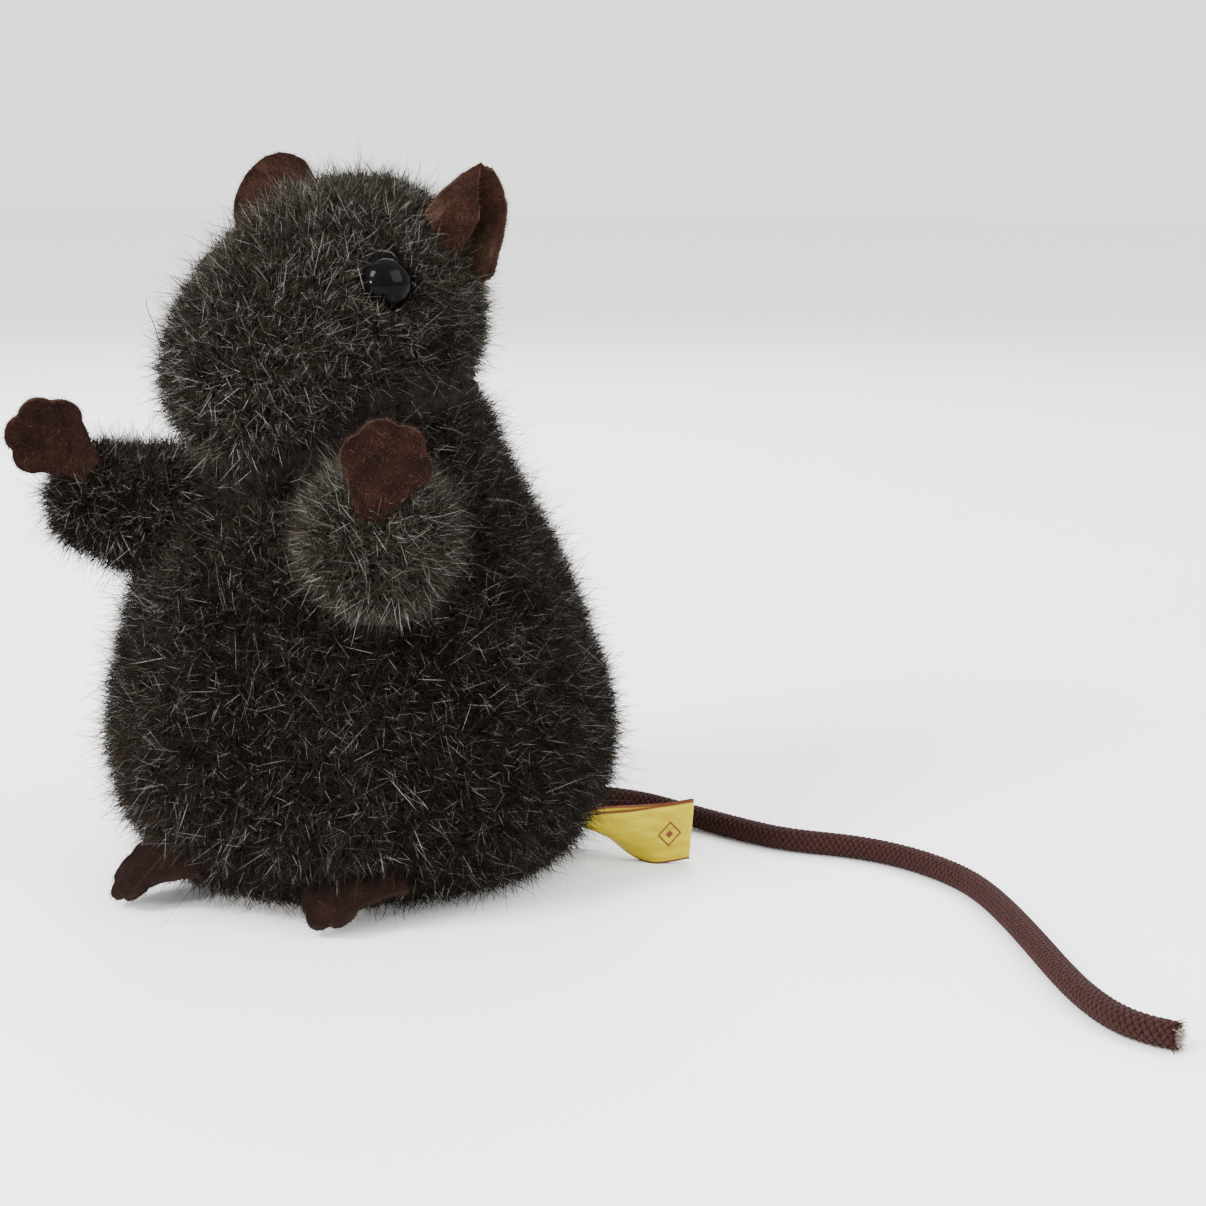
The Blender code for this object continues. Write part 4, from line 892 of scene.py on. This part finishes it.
tree.links.new(final.outputs[2], surface.inputs["Base Color"])
bump = add(tree, "ShaderNodeBump", {"Height": yarn, "Strength": 0.35, "Distance": 0.00008})
tree.links.new(bump.outputs["Normal"], surface.inputs["Normal"])
ribbon.data.materials.append(satin)
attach(ribbon, "mouse")
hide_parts("label_ribbon")


# ---- Key ------------------------------------------------------------------------------------------
# The winding key is stamped from brass, with a butterfly bow and a tube that slides on the square
# of the winding arbor. Its edges are rounded by tumbling.

key = copied("winding_key", "key")
rounded = key.modifiers.new("rounded", "BEVEL")
rounded.width = 0.00028
rounded.segments = 3
rounded.limit_method = "ANGLE"
rounded.angle_limit = math.radians(35)
finish_modifiers(key)
key.data.shade_smooth()
key.data.set_sharp_from_angle(angle=math.radians(35))


def metal(name, dark, pale, roughness, scale=900.0):
    """Rolled or turned metal: faint cloudy tarnish, fine scratches and handling marks."""
    material, tree, surface = nodes_of(name, roughness, 0.0, 0.5)
    surface.inputs["Metallic"].default_value = 1.0
    place = add(tree, "ShaderNodeTexCoord").outputs["Object"]
    cloud = add(tree, "ShaderNodeTexNoise", {"Vector": place, "Scale": scale / 3, "Detail": 5.0})
    tone = ramp(tree, cloud.outputs["Fac"], ((0.30, dark), (0.65, pale)))
    tree.links.new(tone, surface.inputs["Base Color"])
    stretch = add(tree, "ShaderNodeMapping", {"Vector": place, "Scale": (scale * 0.3, scale * 4, scale * 4)})
    marks = add(tree, "ShaderNodeTexNoise", {"Vector": stretch.outputs["Vector"], "Scale": 1.0,
                                             "Detail": 3.0})
    rough = add(tree, "ShaderNodeMapRange", {0: marks.outputs["Fac"], 3: roughness * 0.7, 4: roughness * 1.5})
    tree.links.new(rough.outputs["Result"], surface.inputs["Roughness"])
    bump = add(tree, "ShaderNodeBump", {"Height": marks.outputs["Fac"], "Strength": 0.15,
                                        "Distance": 0.00004})
    tree.links.new(bump.outputs["Normal"], surface.inputs["Normal"])
    return material


brass = metal("stamped_brass", (0.26, 0.155, 0.045), (0.46, 0.30, 0.10), 0.34)
key.data.materials.append(brass)
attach(key, "key")
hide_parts("key")


# ---- Clockwork and base -----------------------------------------------------------------------------
# The movement is brass plates and wheels on steel arbors, in a folded card cover on a tinplate
# base. Red plastic wheels carry rubber tyres, and a turned wooden roller runs in front.

def cloudy(name, dark, pale, roughness, scale, bump_depth):
    """A plain material with a cloudy tone and a fine relief."""
    material, tree, surface = nodes_of(name, roughness, 0.0, 0.4)
    place = add(tree, "ShaderNodeTexCoord").outputs["Object"]
    cloud = add(tree, "ShaderNodeTexNoise", {"Vector": place, "Scale": scale, "Detail": 6.0})
    tone = ramp(tree, cloud.outputs["Fac"], ((0.32, dark), (0.66, pale)))
    tree.links.new(tone, surface.inputs["Base Color"])
    bump = add(tree, "ShaderNodeBump", {"Height": cloud.outputs["Fac"], "Strength": 0.5,
                                        "Distance": bump_depth})
    tree.links.new(bump.outputs["Normal"], surface.inputs["Normal"])
    return material


steel = metal("turned_steel", (0.28, 0.28, 0.29), (0.50, 0.50, 0.52), 0.28)
finishes = {
    "tinplate": metal("bright_tinplate", (0.36, 0.36, 0.36), (0.58, 0.58, 0.57), 0.36, 500.0),
    "frame_brass": metal("frame_brass", (0.42, 0.28, 0.10), (0.62, 0.44, 0.18), 0.34),
    "wheel_brass": metal("wheel_brass", (0.46, 0.31, 0.11), (0.68, 0.49, 0.20), 0.26),
    "frame_steel": steel,
    "screw_steel": steel,
    "arbor_steel": steel,
    "ratchet_steel": steel,
    "spring_steel": metal("blued_steel", (0.05, 0.06, 0.11), (0.14, 0.16, 0.24), 0.25),
    "card": cloudy("folded_card", (0.17, 0.12, 0.07), (0.30, 0.22, 0.13), 0.9, 1200.0, 0.0001),
    "wheel_red": cloudy("moulded_red", (0.30, 0.012, 0.010), (0.42, 0.022, 0.016), 0.35, 600.0, 0.00002),
    "tyre_rubber": cloudy("tyre_rubber", (0.006, 0.006, 0.006), (0.020, 0.019, 0.018), 0.8, 1500.0, 0.00008),
    "roller_wood": cloudy("turned_wood", (0.28, 0.17, 0.08), (0.46, 0.31, 0.16), 0.6, 700.0, 0.00006),
    "wadding": cloudy("fibre_filling", (0.012, 0.011, 0.010), (0.060, 0.055, 0.050), 1.0, 900.0, 0.0006),
    "tail_core": cloudy("crimped_core", (0.35, 0.31, 0.25), (0.60, 0.55, 0.47), 0.9, 2500.0, 0.0002),
    "washer_plastic": cloudy("washer_plastic", (0.60, 0.60, 0.58), (0.72, 0.72, 0.70), 0.45, 400.0, 0.00002),
}
for node, thing in frame["nodes"].items():
    if thing.hide_render:
        continue
    finish = finishes[frame_slots[node]]
    thing.data.materials.clear()
    thing.data.materials.append(finish)
